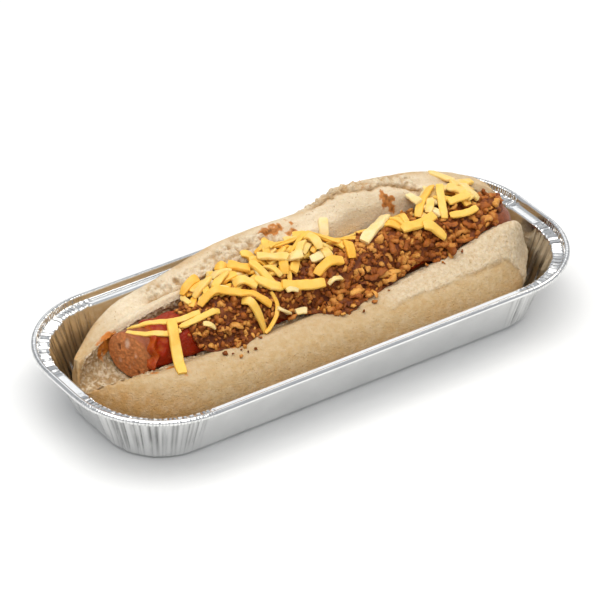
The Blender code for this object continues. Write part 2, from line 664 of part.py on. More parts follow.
def shred_mesh(row, ground, cheese):
    """A strip laid over what is below it; it sinks a little into cheese and stays clear of everything else."""
    numbers = [MM * value for value in row]
    start, middle, end, width, thickness = numbers[0:2], numbers[2:4], numbers[4:6], numbers[6], numbers[7]
    length = math.dist(start, middle) + math.dist(middle, end)
    steps = max(2, round(length / SHRED_STEP))
    line = curve_points(start, middle, end, steps)
    sides = ([], [])
    plan = []
    for i, (x, y) in enumerate(line):
        before, after = line[max(0, i - 1)], line[min(steps, i + 1)]
        along = Vector((after[0] - before[0], after[1] - before[1])).normalized()
        across = Vector((-along.y, along.x)) * width / 2
        plan.append((x, y, across))
        for side, sign in enumerate((-1, 1)):
            found = []
            for share in (0.0, 0.5, 1.0):
                spot = (x + sign * share * across.x, y + sign * share * across.y)
                base = ground_height(ground, *spot)
                own = ground_height(cheese, *spot)
                found.append(max(LOWEST_SHRED if base is None else base + SHRED_GAP, own - SHRED_SINK if own else 0.0))
            sides[side].append(max(found[2], 0.5 * (found[1] + found[2]), found[0] - 0.0012))
    sides = [stiffened(side, SHRED_DROOP) for side in sides]
    mesh = bpy.data.meshes.new("shred")
    for raised in np.arange(8) * 0.0005:
        corners = []
        for (x, y, across), left, right in zip(plan, *sides):
            for lift in (0.0, thickness):
                corners.append((x - across.x, y - across.y, left + raised + lift))
                corners.append((x + across.x, y + across.y, right + raised + lift))
        faces = [(0, 2, 3, 1), (4 * steps, 4 * steps + 1, 4 * steps + 3, 4 * steps + 2)]
        for i in range(steps):
            for a, b in ((0, 1), (1, 3), (3, 2), (2, 0)):
                faces.append((4 * i + a, 4 * i + b, 4 * i + 4 + b, 4 * i + 4 + a))
        mesh.clear_geometry()
        mesh.from_pydata(corners, [], faces)
        if not touches(mesh, ground):
            return mesh
    return None


def make_spine():
    """Thin layer over the onions' high side, which the heap's shreds are fused on."""
    inner = SAUSAGE_RADIUS + GAP + SAUCE_THICKNESS * 1.3 + GAP
    spine = bmesh.new()
    rings = []
    for x in np.linspace(SPINE_LEFT, SPINE_RIGHT, 24):
        low, high = [], []
        for share in np.linspace(0, SPINE_SHARE, SPINE_COLUMNS + 1):
            degrees = ONION_HIGH_EDGE + (onion_edge(x) - ONION_HIGH_EDGE) * share
            base = inner + onion_thickness(x, share) + SHRED_GAP
            low.append(spine.verts.new(around_sausage(x, base, degrees)))
            high.append(spine.verts.new(around_sausage(x, base + SPINE_THICKNESS, degrees)))
        rings.append(low + high[::-1])
    for near, far in zip(rings, rings[1:]):
        for i in range(len(near)):
            j = (i + 1) % len(near)
            spine.faces.new((near[i], near[j], far[j], far[i]))
    spine.faces.new(rings[0][::-1])
    spine.faces.new(rings[-1])
    bmesh.ops.recalc_face_normals(spine, faces=spine.faces)
    mesh = bpy.data.meshes.new("spine")
    spine.to_mesh(mesh)
    spine.free()
    return mesh


def make_cheese(collection, ground, spine):
    """The heap of shreds on its spine, and then the few shreds that lie apart from it."""
    material = plain_material("cheese", CHEESE_YELLOW, 0.5)
    cheese = [tree_of(spine)]
    shreds = []
    for row in HEAP_SHREDS:
        shred = shred_mesh(row, ground, cheese)
        if shred is not None:
            shreds.append(shred)
            cheese.append(tree_of(shred))
    heap = fuse(spine, shreds)
    add_mesh("shredded_cheese", heap, collection, material)
    ground = [*ground, tree_of(heap)]
    for name, row in LOOSE_SHREDS.items():
        shred = shred_mesh(row, ground, [])
        add_mesh(name, shred, collection, material.copy())
        ground.append(tree_of(shred))


def main():
    clear_scene()
    collection = bpy.data.collections.new("filled_roll_in_foil_tray")
    bpy.context.scene.collection.children.link(collection)
    make_tray(collection)
    bread = make_bread(collection)
    sausage = make_sausage(collection)
    sauce = make_sauce(collection)
    ground = [tree_of(piece.data) for piece in (bread, sausage, sauce)]
    spine = make_spine()
    onions = make_onions(collection, [*ground, tree_of(spine)])
    ground.append(tree_of(onions.data))
    make_cheese(collection, ground, spine)


main()
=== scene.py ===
"""Looks of a filled bread roll in an oblong foil tray: crust, sausage, sauce, fried onion and cheese."""

import json
import math
import random

import bmesh
import bpy
import numpy as np
from mathutils import Matrix, Vector, noise
from mathutils.bvhtree import BVHTree

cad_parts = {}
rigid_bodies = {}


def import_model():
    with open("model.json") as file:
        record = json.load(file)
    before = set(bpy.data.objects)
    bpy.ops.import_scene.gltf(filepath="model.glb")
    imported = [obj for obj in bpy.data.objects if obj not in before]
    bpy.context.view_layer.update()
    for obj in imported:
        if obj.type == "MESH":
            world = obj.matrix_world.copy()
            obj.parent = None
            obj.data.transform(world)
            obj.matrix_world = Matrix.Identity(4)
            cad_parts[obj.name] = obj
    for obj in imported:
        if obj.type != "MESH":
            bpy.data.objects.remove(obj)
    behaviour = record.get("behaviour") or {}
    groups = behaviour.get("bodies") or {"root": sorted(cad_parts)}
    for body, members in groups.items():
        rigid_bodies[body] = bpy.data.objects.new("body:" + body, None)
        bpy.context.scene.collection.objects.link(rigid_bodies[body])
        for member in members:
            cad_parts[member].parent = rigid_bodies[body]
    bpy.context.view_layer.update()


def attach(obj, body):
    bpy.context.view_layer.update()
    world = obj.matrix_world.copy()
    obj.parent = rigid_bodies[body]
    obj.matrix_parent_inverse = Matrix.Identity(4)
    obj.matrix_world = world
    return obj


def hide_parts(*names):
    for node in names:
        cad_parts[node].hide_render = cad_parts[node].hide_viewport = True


bl_info = {
    "name": "Foil tray meal",
    "version": (1, 0, 0),
    "blender": (4, 5, 0),
    "location": "3D View > Sidebar > Tray meal",
    "description": "Builds a filled bread roll in a foil tray, piece by piece",
    "category": "Add Mesh",
}

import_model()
BODY = "root"
MM = 0.001


def metres(*rows):
    """Table of rows that are given in millimetres."""
    return np.array(rows) / 1000


# Foil tray: outer size over the rolled bead, and its profile from the bead inwards.
TRAY_LENGTH = 0.266
TRAY_WIDTH = 0.115
TRAY_HEIGHT = 0.033
CORNER_RADIUS = 0.046
BEAD_RADIUS = 0.0013
RIM_STEP = 0.0032
LEDGE_INSET = 0.0034
LEDGE_WIDTH = 0.0050
WALL_LEAN = 0.0100
BASE_FILLET = 0.0040
SOLID_FOIL = 0.0003
CORNER_COLUMNS = 150
# The straight sides have columns this close near the corners, over this run, and this far apart beyond.
FINE_STEP = 0.0005
FINE_RUN = 0.008
COARSE_STEP = 0.003
# Profile of the foil: insets of the rings on the base, points on each curve, and the radius of the bends.
BASE_INSETS = (0.042, 0.036, 0.030, 0.026)
FILLET_STEPS = 7
WALL_STEPS = 14
LIP_STEPS = 5
LIP_ROUNDING = 0.0011
HEEL_STEPS = 4
HEEL_ROUNDING = 0.0007
BEAD_STEPS = 15
BEAD_SWEEP = 285
# Least and most distance between two folds of the corners: common, small and wide ones.
FOLD_GAPS = ((0.0016, 0.0040), (0.0009, 0.0022), (0.006, 0.013))
# Half the width of the painted shade line along a common fold, and along a wide one.
FOLD_SHADOW = 0.00070
WIDE_FOLD_SHADOW = 0.00110
# Depth within a corner, negative outside it, over which the folds grow to their full height.
FOLDS_BEGIN = -0.0055
FOLDS_FULL = 0.0025
# How far the folds lean, how wavy the plain wall and the ledge are, and how far along the first fold lies.
FOLD_LEAN = 0.0016
WALL_WAVE = 0.00022
LEDGE_WAVE = 0.00008
FIRST_FOLD = 0.003
# Least and most columns between two pleats of the ledge, and between two crimps of the bead.
PLEAT_GAPS = (2, 4)
CRIMP_GAPS = (1, 2)
TRAY_SEED = 5

# Bread roll.
BREAD_LEFT = -0.1190
BREAD_RIGHT = 0.1190
LEFT_SHOULDER = -0.0640
RIGHT_SHOULDER = 0.0820
LEFT_TAPER = 2.25
RIGHT_TAPER = 2.5
BREAD_AXIS_HEIGHT = 0.0200
BREAD_CLEARANCE = 0.0010
CREST_OFFSET = 0.0200
END_RISE = 0.0600
END_ROUNDING = 1.25
CUT_CLEARANCE = 0.0009
BREAD_RINGS = 560
# Points along each span of the section: the crust's spans, from the low half's edge round under the roll to
# the high half's edge, then the spans of the cut's faces.
CRUST_SAMPLES = (8, 15, 10, 7, 4, 4, 4, 7, 11, 14, 6, 6, 12, 7)
CUT_SAMPLES = (8, 6, 4, 4, 4, 6)
LIP_SPAN = len(CRUST_SAMPLES)
LAST_SPAN = LIP_SPAN + len(CUT_SAMPLES)
# Places along the spans where each part of the crust begins or ends, and where the crest's gold lies.
TOP_BEGINS = (9.3, 9.7)
LOW_SIDE_ENDS = (2.9, 3.4)
FRONT_GOLD_ENDS = (4.2, 5.0)
BACK_GOLD_BEGINS = (6.5, 7.2)
BACK_GOLD_ENDS = (8.8, 9.6)
CREST_GOLD = (10.2, 0.9)
# x between which a feature of the roll begins or ends: the panel under the left slash, the crumb and the
# torn dough at the low half's left end, the plain tip, the flour on the low half, and the gold of both ends.
PANEL_BEGINS = (-0.064, -0.046)
PANEL_ENDS = (-0.006, 0.004)
LEFT_CRUMB_ENDS = (-0.104, -0.098)
JAGGED_ENDS = (-0.103, -0.092)
TIP_ENDS = (-0.1185, -0.1140)
FLOURED_BEGINS = (0.018, 0.034)
FLOUR_THINS = (0.066, 0.100)
LEFT_GOLD_ENDS = (-0.112, -0.070)
RIGHT_GOLD_BEGINS = (0.100, 0.118)
# Distance in front of the middle at which the rough flour of the low half ends in a crease.
ROUGH_ENDS = (0.0300, 0.0322)
FRONT_CREASE = (0.0316, 0.0011)
# Distance from a slash's crease: where the torn dough above it begins and ends, the crease's own place and
# half width, where the panel below it begins and ends, and the millimetres over which a slash runs out.
TORN_BEGINS = (-0.0004, 0.0006)
TORN_ENDS = (0.0060, 0.0095)
CREASE_PLACE = (-0.0002, 0.0016)
PANEL_NEAR = (0.0, 0.0008)
PANEL_FAR = (0.0040, 0.0065)
SLASH_RUN_OUT = 8
# Depths and heights of the crust's relief: slash's crease, front's crease, rough flour and jagged edge.
CREASE_DEPTH = 0.0018
FRONT_CREASE_DEPTH = 0.00050
ROUGH_LIFT = 0.00045
ROUGH_RELIEF = 0.00060
JAGGED_RELIEF = 0.0021
# Heights between which the low sides' gold ends, the left end's gold ends, and the flour begins.
SIDE_GOLD_ENDS = (0.012, 0.034)
TIP_GOLD_ENDS = (0.024, 0.036)
FLOUR_BEGINS = (0.030, 0.046)

# Millimetres: x, then the height of the high half's skyline in the plane y = SKYLINE_Y.
SKYLINE = metres(
    (-117, 12), (-114, 19.7), (-113, 25.8), (-111.5, 29.1), (-107.5, 34.6), (-103.5, 39.7), (-98.5, 44.1),
    (-93, 47.5), (-77, 51.7), (-54.5, 57.5), (-36, 61.4), (-11, 62.2), (8, 61.7), (23, 64), (30, 67),
    (40, 67.1), (56, 64.8), (81, 59.6), (107, 48.4), (120, 38.4), (124, 33), (128, 24),
)
SKYLINE_Y = 0.0200
SKYLINE_SHIFT = 0.70
SKYLINE_DROP = 0.78
# Millimetres: x, then y of the roll's widest points at the front and at the back.
SIDES = metres(
    (-119, 0, 9), (-117, -8, 15), (-115, -12.7, 18.5), (-111, -19, 23.5), (-107, -23.4, 28),
    (-102, -27.4, 32.5), (-97, -30.5, 36.2), (-90, -33.6, 40.2), (-80, -36.3, 43), (-64, -37.9, 44.8),
    (-30, -38.8, 44.2), (10, -39.8, 43.2), (50, -40.8, 42.2), (80, -40.6, 41.2), (90, -38.8, 39.8),
    (98, -35, 36), (104, -30.4, 32), (108, -26.1, 28.5), (112, -21.4, 24), (116, -16.6, 18),
    (118, -13, 12), (119, -7, 6),
)
# Millimetres: x, then y and z of the low half's edge at the cut.
FRONT_LIP = metres(
    (-119, 0, 22), (-115, -4.7, 25.9), (-111, -8.2, 27.9), (-107, -10.7, 29.3), (-102, -13, 30.6),
    (-97, -14.5, 31.5), (-64, -15.1, 32), (-30, -15.8, 32.4), (10, -16.8, 32.4), (30, -17, 32.6),
    (50, -16.7, 34), (71, -16, 36.8), (90, -15.4, 40.4), (101, -14.8, 41.2), (107, -13.8, 39.8),
    (111, -12.2, 36.6), (115, -9.4, 30.6), (119, -3, 21.5),
)
# Millimetres: x, then y and z of the high half's edge at the cut.
BACK_LIP = metres(
    (-119, 6, 22), (-115, 9.8, 30), (-107, 12, 35), (-102, 12.4, 37.2), (-95.6, 12.2, 38.5),
    (-83.8, 11.2, 42.8), (-70.4, 11, 45.2), (-51.4, 11, 46.4), (-29.6, 11, 49), (3.7, 10.6, 48.3),
    (26.2, 10.4, 46), (49, 10, 46.3), (72, 10, 49), (89.4, 9.8, 48.6), (107.2, 9.6, 45), (113, 8, 40.5),
    (117, 5, 33), (119, 2, 25),
)
# Millimetres: x, then y of the crease under each torn slash.
LEFT_CREASE = (
    (-78, 19), (-68, 17), (-62, 14.6), (-52, 13.1), (-41, 13.1), (-29, 15.2), (-18, 15), (-8, 13.5),
    (0, 12),
)
RIGHT_CREASE = (
    (12, 23.5), (24, 22), (34, 20.9), (43, 18.5), (54, 18.1), (62, 16.9), (70, 12.9), (78, 11),
)
# Millimetres: centre x, y, z, radius, and strength of the browned patches of the crust.
TOASTED = (
    (-9, 20, 55.2, 4.5, 0.7), (-4, 21, 56, 3.5, 0.9), (2, 20.5, 56, 4.5, 0.8), (4, 16, 54.5, 3.5, 0.7),
    (2, 11.8, 52.5, 3, 1), (53, 13.6, 57, 3.5, 0.9), (56.5, 11.6, 54.6, 3, 1), (61, 15.5, 57.2, 1.6, 1),
    (84, 11.2, 52.8, 1.6, 1), (90, 19, 54.5, 3.5, 0.5), (46, 24, 63.5, 6, 0.35), (66, 25, 60, 6, 0.45),
)
# Millimetres: centre x, y, z, radius, and strength of the places where sauce or fat soaked into the crust.
STAINED = (
    (-103.5, 11.9, 33.3, 3, 1.2), (-101, 12, 36, 3.2, 1.3), (-99, 12, 39.5, 3.2, 1.2),
    (-97, 12.3, 42, 2.4, 0.9), (-92, -16, 31.5, 2.8, 0.75), (-85, -17, 32.5, 3, 0.8),
    (-82, -25, 33, 2.6, 0.55), (-53, -19, 33.6, 3.2, 0.9), (-48, -20, 33.5, 2.4, 0.7),
    (-20, -18.5, 33.4, 2.5, 0.5), (20, -18.5, 33.5, 3, 0.5), (62, -18, 36.5, 3, 0.5),
)

# Sausage in the cut.
SAUSAGE_RADIUS = 0.0115
SAUSAGE_LEFT = -0.0970
SAUSAGE_RIGHT = 0.1140
SAUSAGE_ROUND_END = 0.0165
SAUSAGE_CUT_ANGLE = math.radians(20)
# Cut face: how far along the sausage its slant fades, the rounding of its rim, and its bulge.
CUT_REACH = 0.030
CUT_RIM = 0.0011
CUT_BULGE = 0.0009
# Millimetres: centre x, y, z, radius, and strength of the holes and of the bits of fat in the cut face.
MEAT_HOLES = ((-99.3, 4.6, 37.2, 1.2, 1), (-95, -5, 27, 0.8, 0.7))
FAT_BITS = (
    (-97.2, 0.4, 40.5, 1.5, 1), (-95.6, -4.3, 36, 0.8, 0.6), (-98.5, 4, 30, 0.9, 0.6),
    (-96.6, -1, 28.5, 0.6, 0.5), (-99.5, 6.5, 35, 0.6, 0.4), (-96, -3, 31.5, 0.5, 0.5),
)
HOLE_DEPTH = 0.0012

# Sauce over the sausage, its edges as angles around it, in degrees. Rows: x, then the low edge there.
SAUCE_LEFT = -0.0865
SAUCE_RIGHT = 0.0940
# How far its left end slants, its gap to the sausage, its least thickness, and the rounding of its edge.
SAUCE_SLANT = 0.0065
SAUCE_GAP = 0.00012
SAUCE_LEAST = 0.0003
SAUCE_EDGE_ROUNDING = 0.0022
# Thickness between which the sauce loses its thin look.
SAUCE_COVERS = (0.0004, 0.0011)
SAUCE_HIGH_EDGE = 52.0
SAUCE_LOW_EDGE = ((-0.0870, 190.0), (-0.0700, 196.0), (0.0300, 190.0), (0.0600, 182.0), (0.0940, 176.0))

# Heap of fried onion along the low side, in millimetres: x, y of its low edge, y of its high edge, height.
ONION_HEAP = (
    (-70, -13, 2, 0.8), (-65, -16, 5, 1.8), (-60, -20, 6, 3), (-54, -20.5, 6, 4), (-47, -22.5, 6, 4.2),
    (-41, -19.5, 6, 4.4), (-35, -17, 6, 4.4), (-30, -16, 6, 4), (-22, -15.2, 6, 3.8),
    (-14, -15.5, 6, 3.6), (-8, -18, 6, 3.8), (-3, -24, 6, 4.2), (3, -26.5, 6, 4.6), (10, -26, 6, 4.6),
    (17, -23.5, 6, 4.4), (27, -21.5, 6, 4.4), (37, -19, 7, 4.6), (46, -16.5, 8, 4.8), (57, -16.5, 8, 5),
    (64, -19.5, 8, 5.2), (70, -20.5, 8.5, 5), (77, -17, 8.5, 4.8), (83, -18.5, 8.5, 4.6),
    (92, -15.5, 8.5, 4.2), (98, -13, 8, 3.6), (103, -10.5, 6.5, 2.8), (107, -8, 4, 1.6),
    (110, -5, 1, 0.5),
)
# Millimetres: x and y of each large flake's middle, its turn in degrees, its length, and its tone, 0 to 1.
LARGE_FLAKES = (
    (77, -17.5, -18, 10, 0.55), (78, -15, 0, 9.5, 0.7), (49.5, -16, -40, 9.5, 0.5),
    (43.5, -16.8, -30, 7, 0.75), (52.4, -13.5, 90, 6, 0.45), (35.5, -17.2, -5, 12.5, 1),
    (32.5, -20, 8, 10, 0.85), (93, -13.5, -20, 8, 0.8), (68.5, -20, -85, 8.5, 0.35),
    (15.5, -19.3, 0, 9, 0.9), (7, -17, -25, 7, 0.65), (29.5, -16, -25, 8.5, 0.4),
    (65, -16.7, -25, 7, 0.6), (25, -16.4, -20, 8.5, 0.35), (17, -17.5, -80, 6.5, 0.8),
    (86.4, -12.7, -88, 7, 0.75), (-48.6, -14.6, -28, 9.5, 0.9), (-55, -14.3, -12, 6.5, 0.8),
    (-20.5, -17.8, 10, 6.5, 0.6), (59, -14, 30, 8, 0.55), (40, -12, 60, 7.5, 0.45),
    (83, -14, -60, 7, 0.45), (90, -9, 15, 8.5, 0.6), (73, -12, -40, 8, 0.5),
)
# How far the mound under the flakes and the filled gaps sink, and how many cells each gap is filled from.
MOUND_SINK = 0.0004
GAP_SINK = 0.0002
GAP_CELLS = 4
# How high the large flakes' and the loose crumbs' middles lie over what is under them.
FLAKE_LIFT = 0.0016
CRUMB_LIFT = 0.0005
# Height above everything in the tray, from which surfaces are sought straight down.
ABOVE_ALL = 0.2
# Small crumbs and curled strips: random seed, most per square metre, least and most size.
CRUMB_FLAKES = (4, 420000.0, 0.60, 1.25)
STRIP_FLAKES = (7, 130000.0, 0.75, 1.25)
FLAKE_SHAPES = 16
ONION_SEED = 21
# x between which the flakes change from mostly crumbs to mostly strips.
STRIPS_BEGIN = (-0.012, 0.016)
# Most tilt of a strewn flake to either side, in radians.
MOST_TILT = 0.9
# Tone of the mound under the flakes, dark as painted shade in the gaps between them, and the least and the
# most tone of a flake.
MOUND_SHADE_TONE = 0.20
FLAKE_TONES = (0.20, 0.92)
# Millimetres: x and y of the crumbs that fell beside the heap.
LOOSE_CRUMBS = (
    (-57, -25), (-54.5, -28), (-52, -24.5), (-50, -27), (-46, -27), (-49.5, -23.5), (-60, -23),
    (-40, -22), (12, -29.5), (20, -26.5), (30, -24), (55, -19), (62, -22.5), (73, -22), (-72, -12),
    (-74, -9), (96, -16.5),
)

# Millimetres: x and y of each shred's start, middle and end, its width, and its tone from 0, pale, to 1.
SHREDS = (
    (-57, 7.5, -54.5, 8.5, -50, 8, 4.2, 0.55), (-61.2, 10, -56, 11.5, -50.2, 12.6, 4, 0.8),
    (-60, 2, -55, 2.5, -50, 5, 4, 0.45), (-52, -3, -47, 2, -40, 5, 3.8, 0.5),
    (-46, 8, -42, 8.5, -37, 6, 5, 0.35), (-40.1, 14, -38, 12, -35.9, 10.4, 5, 0.75),
    (-36.1, 10.1, -33, 6, -29.2, 2.5, 5, 0.8), (-27.7, 4.4, -26, -1, -23.5, -8.6, 4.6, 0.55),
    (-41, -2.1, -37, -4, -32.1, -7.4, 4.5, 0.5), (-22, 7.5, -16, 3.5, -12, -3, 4.4, 0.4),
    (0, 8, 4, 3, 5, -4, 4.2, 0.45), (14, 8.5, 18, 2, 19, -5, 4.4, 0.6), (24, 7.5, 33, 7.5, 42, 5, 4, 0.5),
    (44, 8, 49, 2, 52.6, -6.1, 4, 0.7), (57, 9.2, 55, 2, 52.6, -6.1, 3.5, 0.6),
    (86, 8, 88, 2, 87, -4, 4.4, 0.4), (94, 7, 92, 1, 95, -4, 4.4, 0.3),
    (-20, 12, -6, 8, 8.6, 6.1, 2.2, 0.8), (-8.8, 0, 6, 5.5, 18.1, -1.3, 2.2, 0.75),
    (-14, 9, 2, 9.5, 20, 7, 2, 0.8), (17.9, 9.4, 23, 5, 27.8, -0.4, 2.5, 0.85),
    (-95.3, 3.3, -87.7, -4.3, -74.5, -9.4, 2.6, 0.5), (-92, 7.5, -80, -1, -62.4, -6.5, 3, 0.55),
    (-74.5, -7.8, -64, -9, -54.1, -9.5, 3, 0.55), (-41.5, -9.5, -39, -13, -35, -18.5, 4.2, 0.55),
    (-60.8, -4.1, -49.6, -5.2, -28.9, -14, 3.8, 0.8), (-26.5, -10.5, -27, -16.5, -36.2, -20.5, 2, 0.75),
    (-31, -4, -26, -9, -20.3, -10.2, 4.6, 0.5), (-20.3, -10.2, -9.7, -13.3, -0.4, -15.7, 5, 0.65),
    (-1.8, -11.4, 6, -10, 13.5, -10, 4.8, 0.85), (20.8, -2.3, 20, -6, 18.5, -10.3, 4.5, 0.9),
    (28.6, -5.4, 38, -0.5, 48.6, 4.6, 5.8, 0.12), (48.5, -7.9, 57, -8.6, 66.5, -8.3, 5, 0.7),
    (58.5, -11, 63, -13, 67.2, -16.4, 5, 0.6), (61.2, -2.9, 69, 4, 77.9, 9.4, 4, 0.7),
    (66.3, 11.9, 66, 5, 65.4, 1.9, 4, 0.1), (82.4, 9.3, 77, 1, 71.6, -9.9, 3.8, 0.5),
    (77.8, -4.1, 83, -4.5, 88.2, -6.3, 4, 0.55), (75.7, -8.3, 83, -10.5, 89.6, -10.8, 3.5, 0.6),
    (89.1, 8.7, 97, 11.5, 104.5, 13.5, 4.5, 0.45), (-26.8, -16.6, -23.5, -17.5, -20.4, -16.8, 2.8, 0.15),
    (-17.3, -17.1, -14.5, -17.4, -12, -18.5, 3.4, 0.1), (-20, -13.7, -17, -13.5, -14.4, -14.6, 2.4, 0.2),
    (-63.9, -11.2, -61, -12.5, -58.7, -13.1, 2.6, 0.25), (2, -15.6, 6, -16.2, 9.6, -15.1, 2.4, 0.2),
)
# Shreds that lie apart, by piece: CAD node, slot, and the row as above.
LOOSE_SHREDS = {
    "low_shred": ("cheese_shred_low", "cheese_low", (-75.7, -3.2, -79.7, -12.4, -84.2, -25.2, 5.0, 0.6)),
    "high_shred": ("cheese_shred_high", "cheese_high", (20.4, 15.8, 18.6, 12.6, 16.6, 9.2, 4.8, 0.1)),
    "crest_shred": ("cheese_shred_crest", "cheese_crest", (85.2, 21.6, 89.8, 18.2, 94.6, 13.4, 3.7, 0.3)),
}
# Millimetres: how many small shreds lie scattered within the least and the most x and y.
SCATTERED = ((76, -62, 8, -4, 11), (18, 46, 98, -5, 9))
CHEESE_SEED = 8
# A shred's width over its thickness, the steps along its line, how far it sinks in, and its steepest slope.
CHEESE_ASPECT = 2.3
SHRED_STEP = 0.0010
SHRED_SINK = 0.0007
STEEPEST_SLOPE = 0.75
# Least radius to which the shreds of the heap, and those that lie apart, bend under their own weight.
STIFF_RADIUS = 0.0200
SOFT_RADIUS = 0.0110

# Camera: its turn, height and roll in degrees, its distance and aim in metres, its lens in millimetres.
CAMERA_TURN = -35.119
CAMERA_HEIGHT = 33.717
CAMERA_ROLL = 0.679
CAMERA_DISTANCE = 1.8390
CAMERA_TARGET = (0.00236, 0.00765, 0.0230)
CAMERA_LENS = 238.59
SENSOR = 36.0
# Soft lights: name, place, the point that each looks at, size, watts and tint.
LAMPS = (
    ("overhead softbox", (-0.22, -0.12, 1.15), (0, 0, 0.02), (1.4, 1.2), 14.5, (1.0, 0.98, 0.95)),
    ("front softbox", (-0.30, -1.10, 1.10), (0, 0, 0.03), (0.8, 0.6), 1.6, (1.0, 1.0, 1.0)),
    ("back strip", (0.72, 1.02, 0.86), (0, 0, 0.03), (1.3, 0.45), 1.35, (1.0, 1.0, 1.0)),
    ("right strip", (1.0, 0.05, 0.75), (0, 0, 0.03), (0.25, 0.8), 2.3, (1.0, 0.94, 0.86)),
)
FLOOR_REACH = 3.0
FLOOR_LEVEL = -0.0002


def length(title, note, value):
    return bpy.props.FloatProperty(
        name=title, description=note, default=value, min=0.0, unit="LENGTH", precision=5
    )


def share(title, note, value):
    return bpy.props.FloatProperty(
        name=title, description=note, default=value, min=0.0, max=1.0, subtype="FACTOR"
    )


def colour(title, note, value):
    return bpy.props.FloatVectorProperty(
        name=title, description=note, default=value, min=0.0, max=1.0, size=3, subtype="COLOR"
    )


class TraySettings(bpy.types.PropertyGroup):
    foil: length("Foil", "Thickness of the foil", 0.00018)
    fold: length("Wall folds", "How far the folds of the corners stand out of the wall", 0.00110)
    pleat: length("Ledge pleats", "How far the pleats of the ledge rise and fall", 0.00034)
    crimp: length("Bead crimps", "Depth of the crimps in the rolled bead", 0.00018)
    metal: colour("Metal", "Colour of the foil", (0.86, 0.86, 0.85))
    dullness: share("Dullness", "Roughness of the foil", 0.15)


class BreadSettings(bpy.types.PropertyGroup):
    tear: length("Torn relief", "Height of the torn dough in the slashes", 0.0022)
    crumb_relief: length("Crumb relief", "Height of the torn crumb", 0.0017)
    crust: colour("Crust", "Colour of the pale crust", (0.515, 0.350, 0.165))
    golden: colour("Golden crust", "Colour of the crust low on the sides", (0.50, 0.275, 0.090))
    flour: colour("Flour", "Colour of the floured top", (0.83, 0.72, 0.54))
    crumb: colour("Crumb", "Colour of the torn inside", (0.54, 0.368, 0.188))
    toasted: colour("Toasted", "Colour of the browned patches", (0.50, 0.170, 0.018))
    soaked: colour("Soaked", "Colour of the crust soaked with sauce", (0.60, 0.19, 0.015))


class SausageSettings(bpy.types.PropertyGroup):
    mince_relief: length("Mince relief", "Height of the grain in the cut face", 0.0006)
    skin: colour("Skin", "Colour of the skin", (0.34, 0.085, 0.024))
    meat: colour("Meat", "Colour of the cut face", (0.65, 0.227, 0.070))
    fat: colour("Fat", "Colour of the bits of fat in the cut face", (0.70, 0.42, 0.28))
    # The holes' colour is painted shade inside them.
    hole: colour("Holes", "Colour of the small holes in the cut face", (0.05, 0.015, 0.008))


class SauceSettings(bpy.types.PropertyGroup):
    thickness: length("Thickness", "Mean thickness of the sauce", 0.0011)
    red: colour("Sauce", "Colour of the sauce", (0.29, 0.016, 0.001))
    thin: colour("Thin sauce", "Colour of the sauce where it is thin", (0.44, 0.080, 0.006))


class OnionSettings(bpy.types.PropertyGroup):
    crumb_spacing: length("Crumb spacing", "Least distance between two crumbs", 0.0016)
    strip_spacing: length("Strip spacing", "Least distance between two curled strips", 0.0024)
    # The darkest colour is shared by the darkest flakes and by the mound under them, where it is painted
    # shade in the gaps.
    dark: colour("Dark onion", "Colour of the darkest flakes", (0.115, 0.024, 0.005))
    brown: colour("Brown onion", "Colour of most flakes", (0.40, 0.112, 0.014))
    light: colour("Light onion", "Colour of the palest flakes", (0.76, 0.37, 0.080))


class CheeseSettings(bpy.types.PropertyGroup):
    unevenness: length("Unevenness", "How uneven the shreds are", 0.00022)
    pale: colour("Pale cheese", "Colour of the palest shreds", (0.82, 0.68, 0.36))
    yellow: colour("Yellow cheese", "Colour of most shreds", (0.87, 0.54, 0.095))
    deep: colour("Deep cheese", "Colour of the deepest shreds", (0.86, 0.42, 0.030))


class StudioSettings(bpy.types.PropertyGroup):
    floor: colour("Floor", "Colour of the floor", (0.88, 0.88, 0.87))
    air: colour("Air", "Colour of the light from all sides", (0.92, 0.95, 1.0))
    air_strength: share("Air strength", "Strength of the light from all sides", 0.50)


def settings(group):
    return getattr(bpy.context.scene, group)


# Shapes

def smooth_row(table, x):
    """Values of the table's columns at this x, on a smooth curve through its rows."""
    rows = np.array(table)
    stations, values = rows[:, 0], rows[:, 1:]
    slopes = np.gradient(values, stations, axis=0)
    at = min(max(int(np.searchsorted(stations, x)) - 1, 0), len(rows) - 2)
    span = stations[at + 1] - stations[at]
    t = min(max((x - stations[at]) / span, 0.0), 1.0)
    rise, fall = slopes[at] * span, slopes[at + 1] * span
    return (
        (2 * t**3 - 3 * t**2 + 1) * values[at] + (t**3 - 2 * t**2 + t) * rise
        + (3 * t**2 - 2 * t**3) * values[at + 1] + (t**3 - t**2) * fall
    )


def smooth_lines(controls, counts):
    """Catmull-Rom lines through many rows of control points at once, with this many points in each span."""
    controls = np.array(controls)
    first = 2 * controls[:, :1] - controls[:, 1:2]
    last = 2 * controls[:, -1:] - controls[:, -2:-1]
    padded = np.concatenate([first, controls, last], axis=1)
    pieces = []
    for span, count in enumerate(counts):
        a, b, c, d = (padded[:, span + k][:, None, :] for k in range(4))
        t = (np.arange(count) / count)[None, :, None]
        square = (2 * a - 5 * b + 4 * c - d) * t**2
        cube = (3 * b - a - 3 * c + d) * t**3
        pieces.append(0.5 * (2 * b + (c - a) * t + square + cube))
    return np.concatenate(pieces, axis=1)


def ramp(value, low, high):
    """0 below low and 1 above high, with a smooth step between."""
    t = np.clip((value - low) / (high - low), 0.0, 1.0)
    return t * t * (3 - 2 * t)


def hill(value, centre, half_width):
    """1 at the centre, falling smoothly to 0 at half_width to each side."""
    return 1 - ramp(np.abs(value - centre), 0.0, half_width)


def noise_at(points, size, seed=0.0):
    """Smooth noise from -1 to 1 at each point, with bumps of about this size."""
    scaled = np.asarray(points).reshape(-1, 3) / size + seed * 17.3
    values = np.fromiter((noise.noise(p) for p in scaled.tolist()), float, len(scaled))
    return values.reshape(np.shape(points)[:-1])


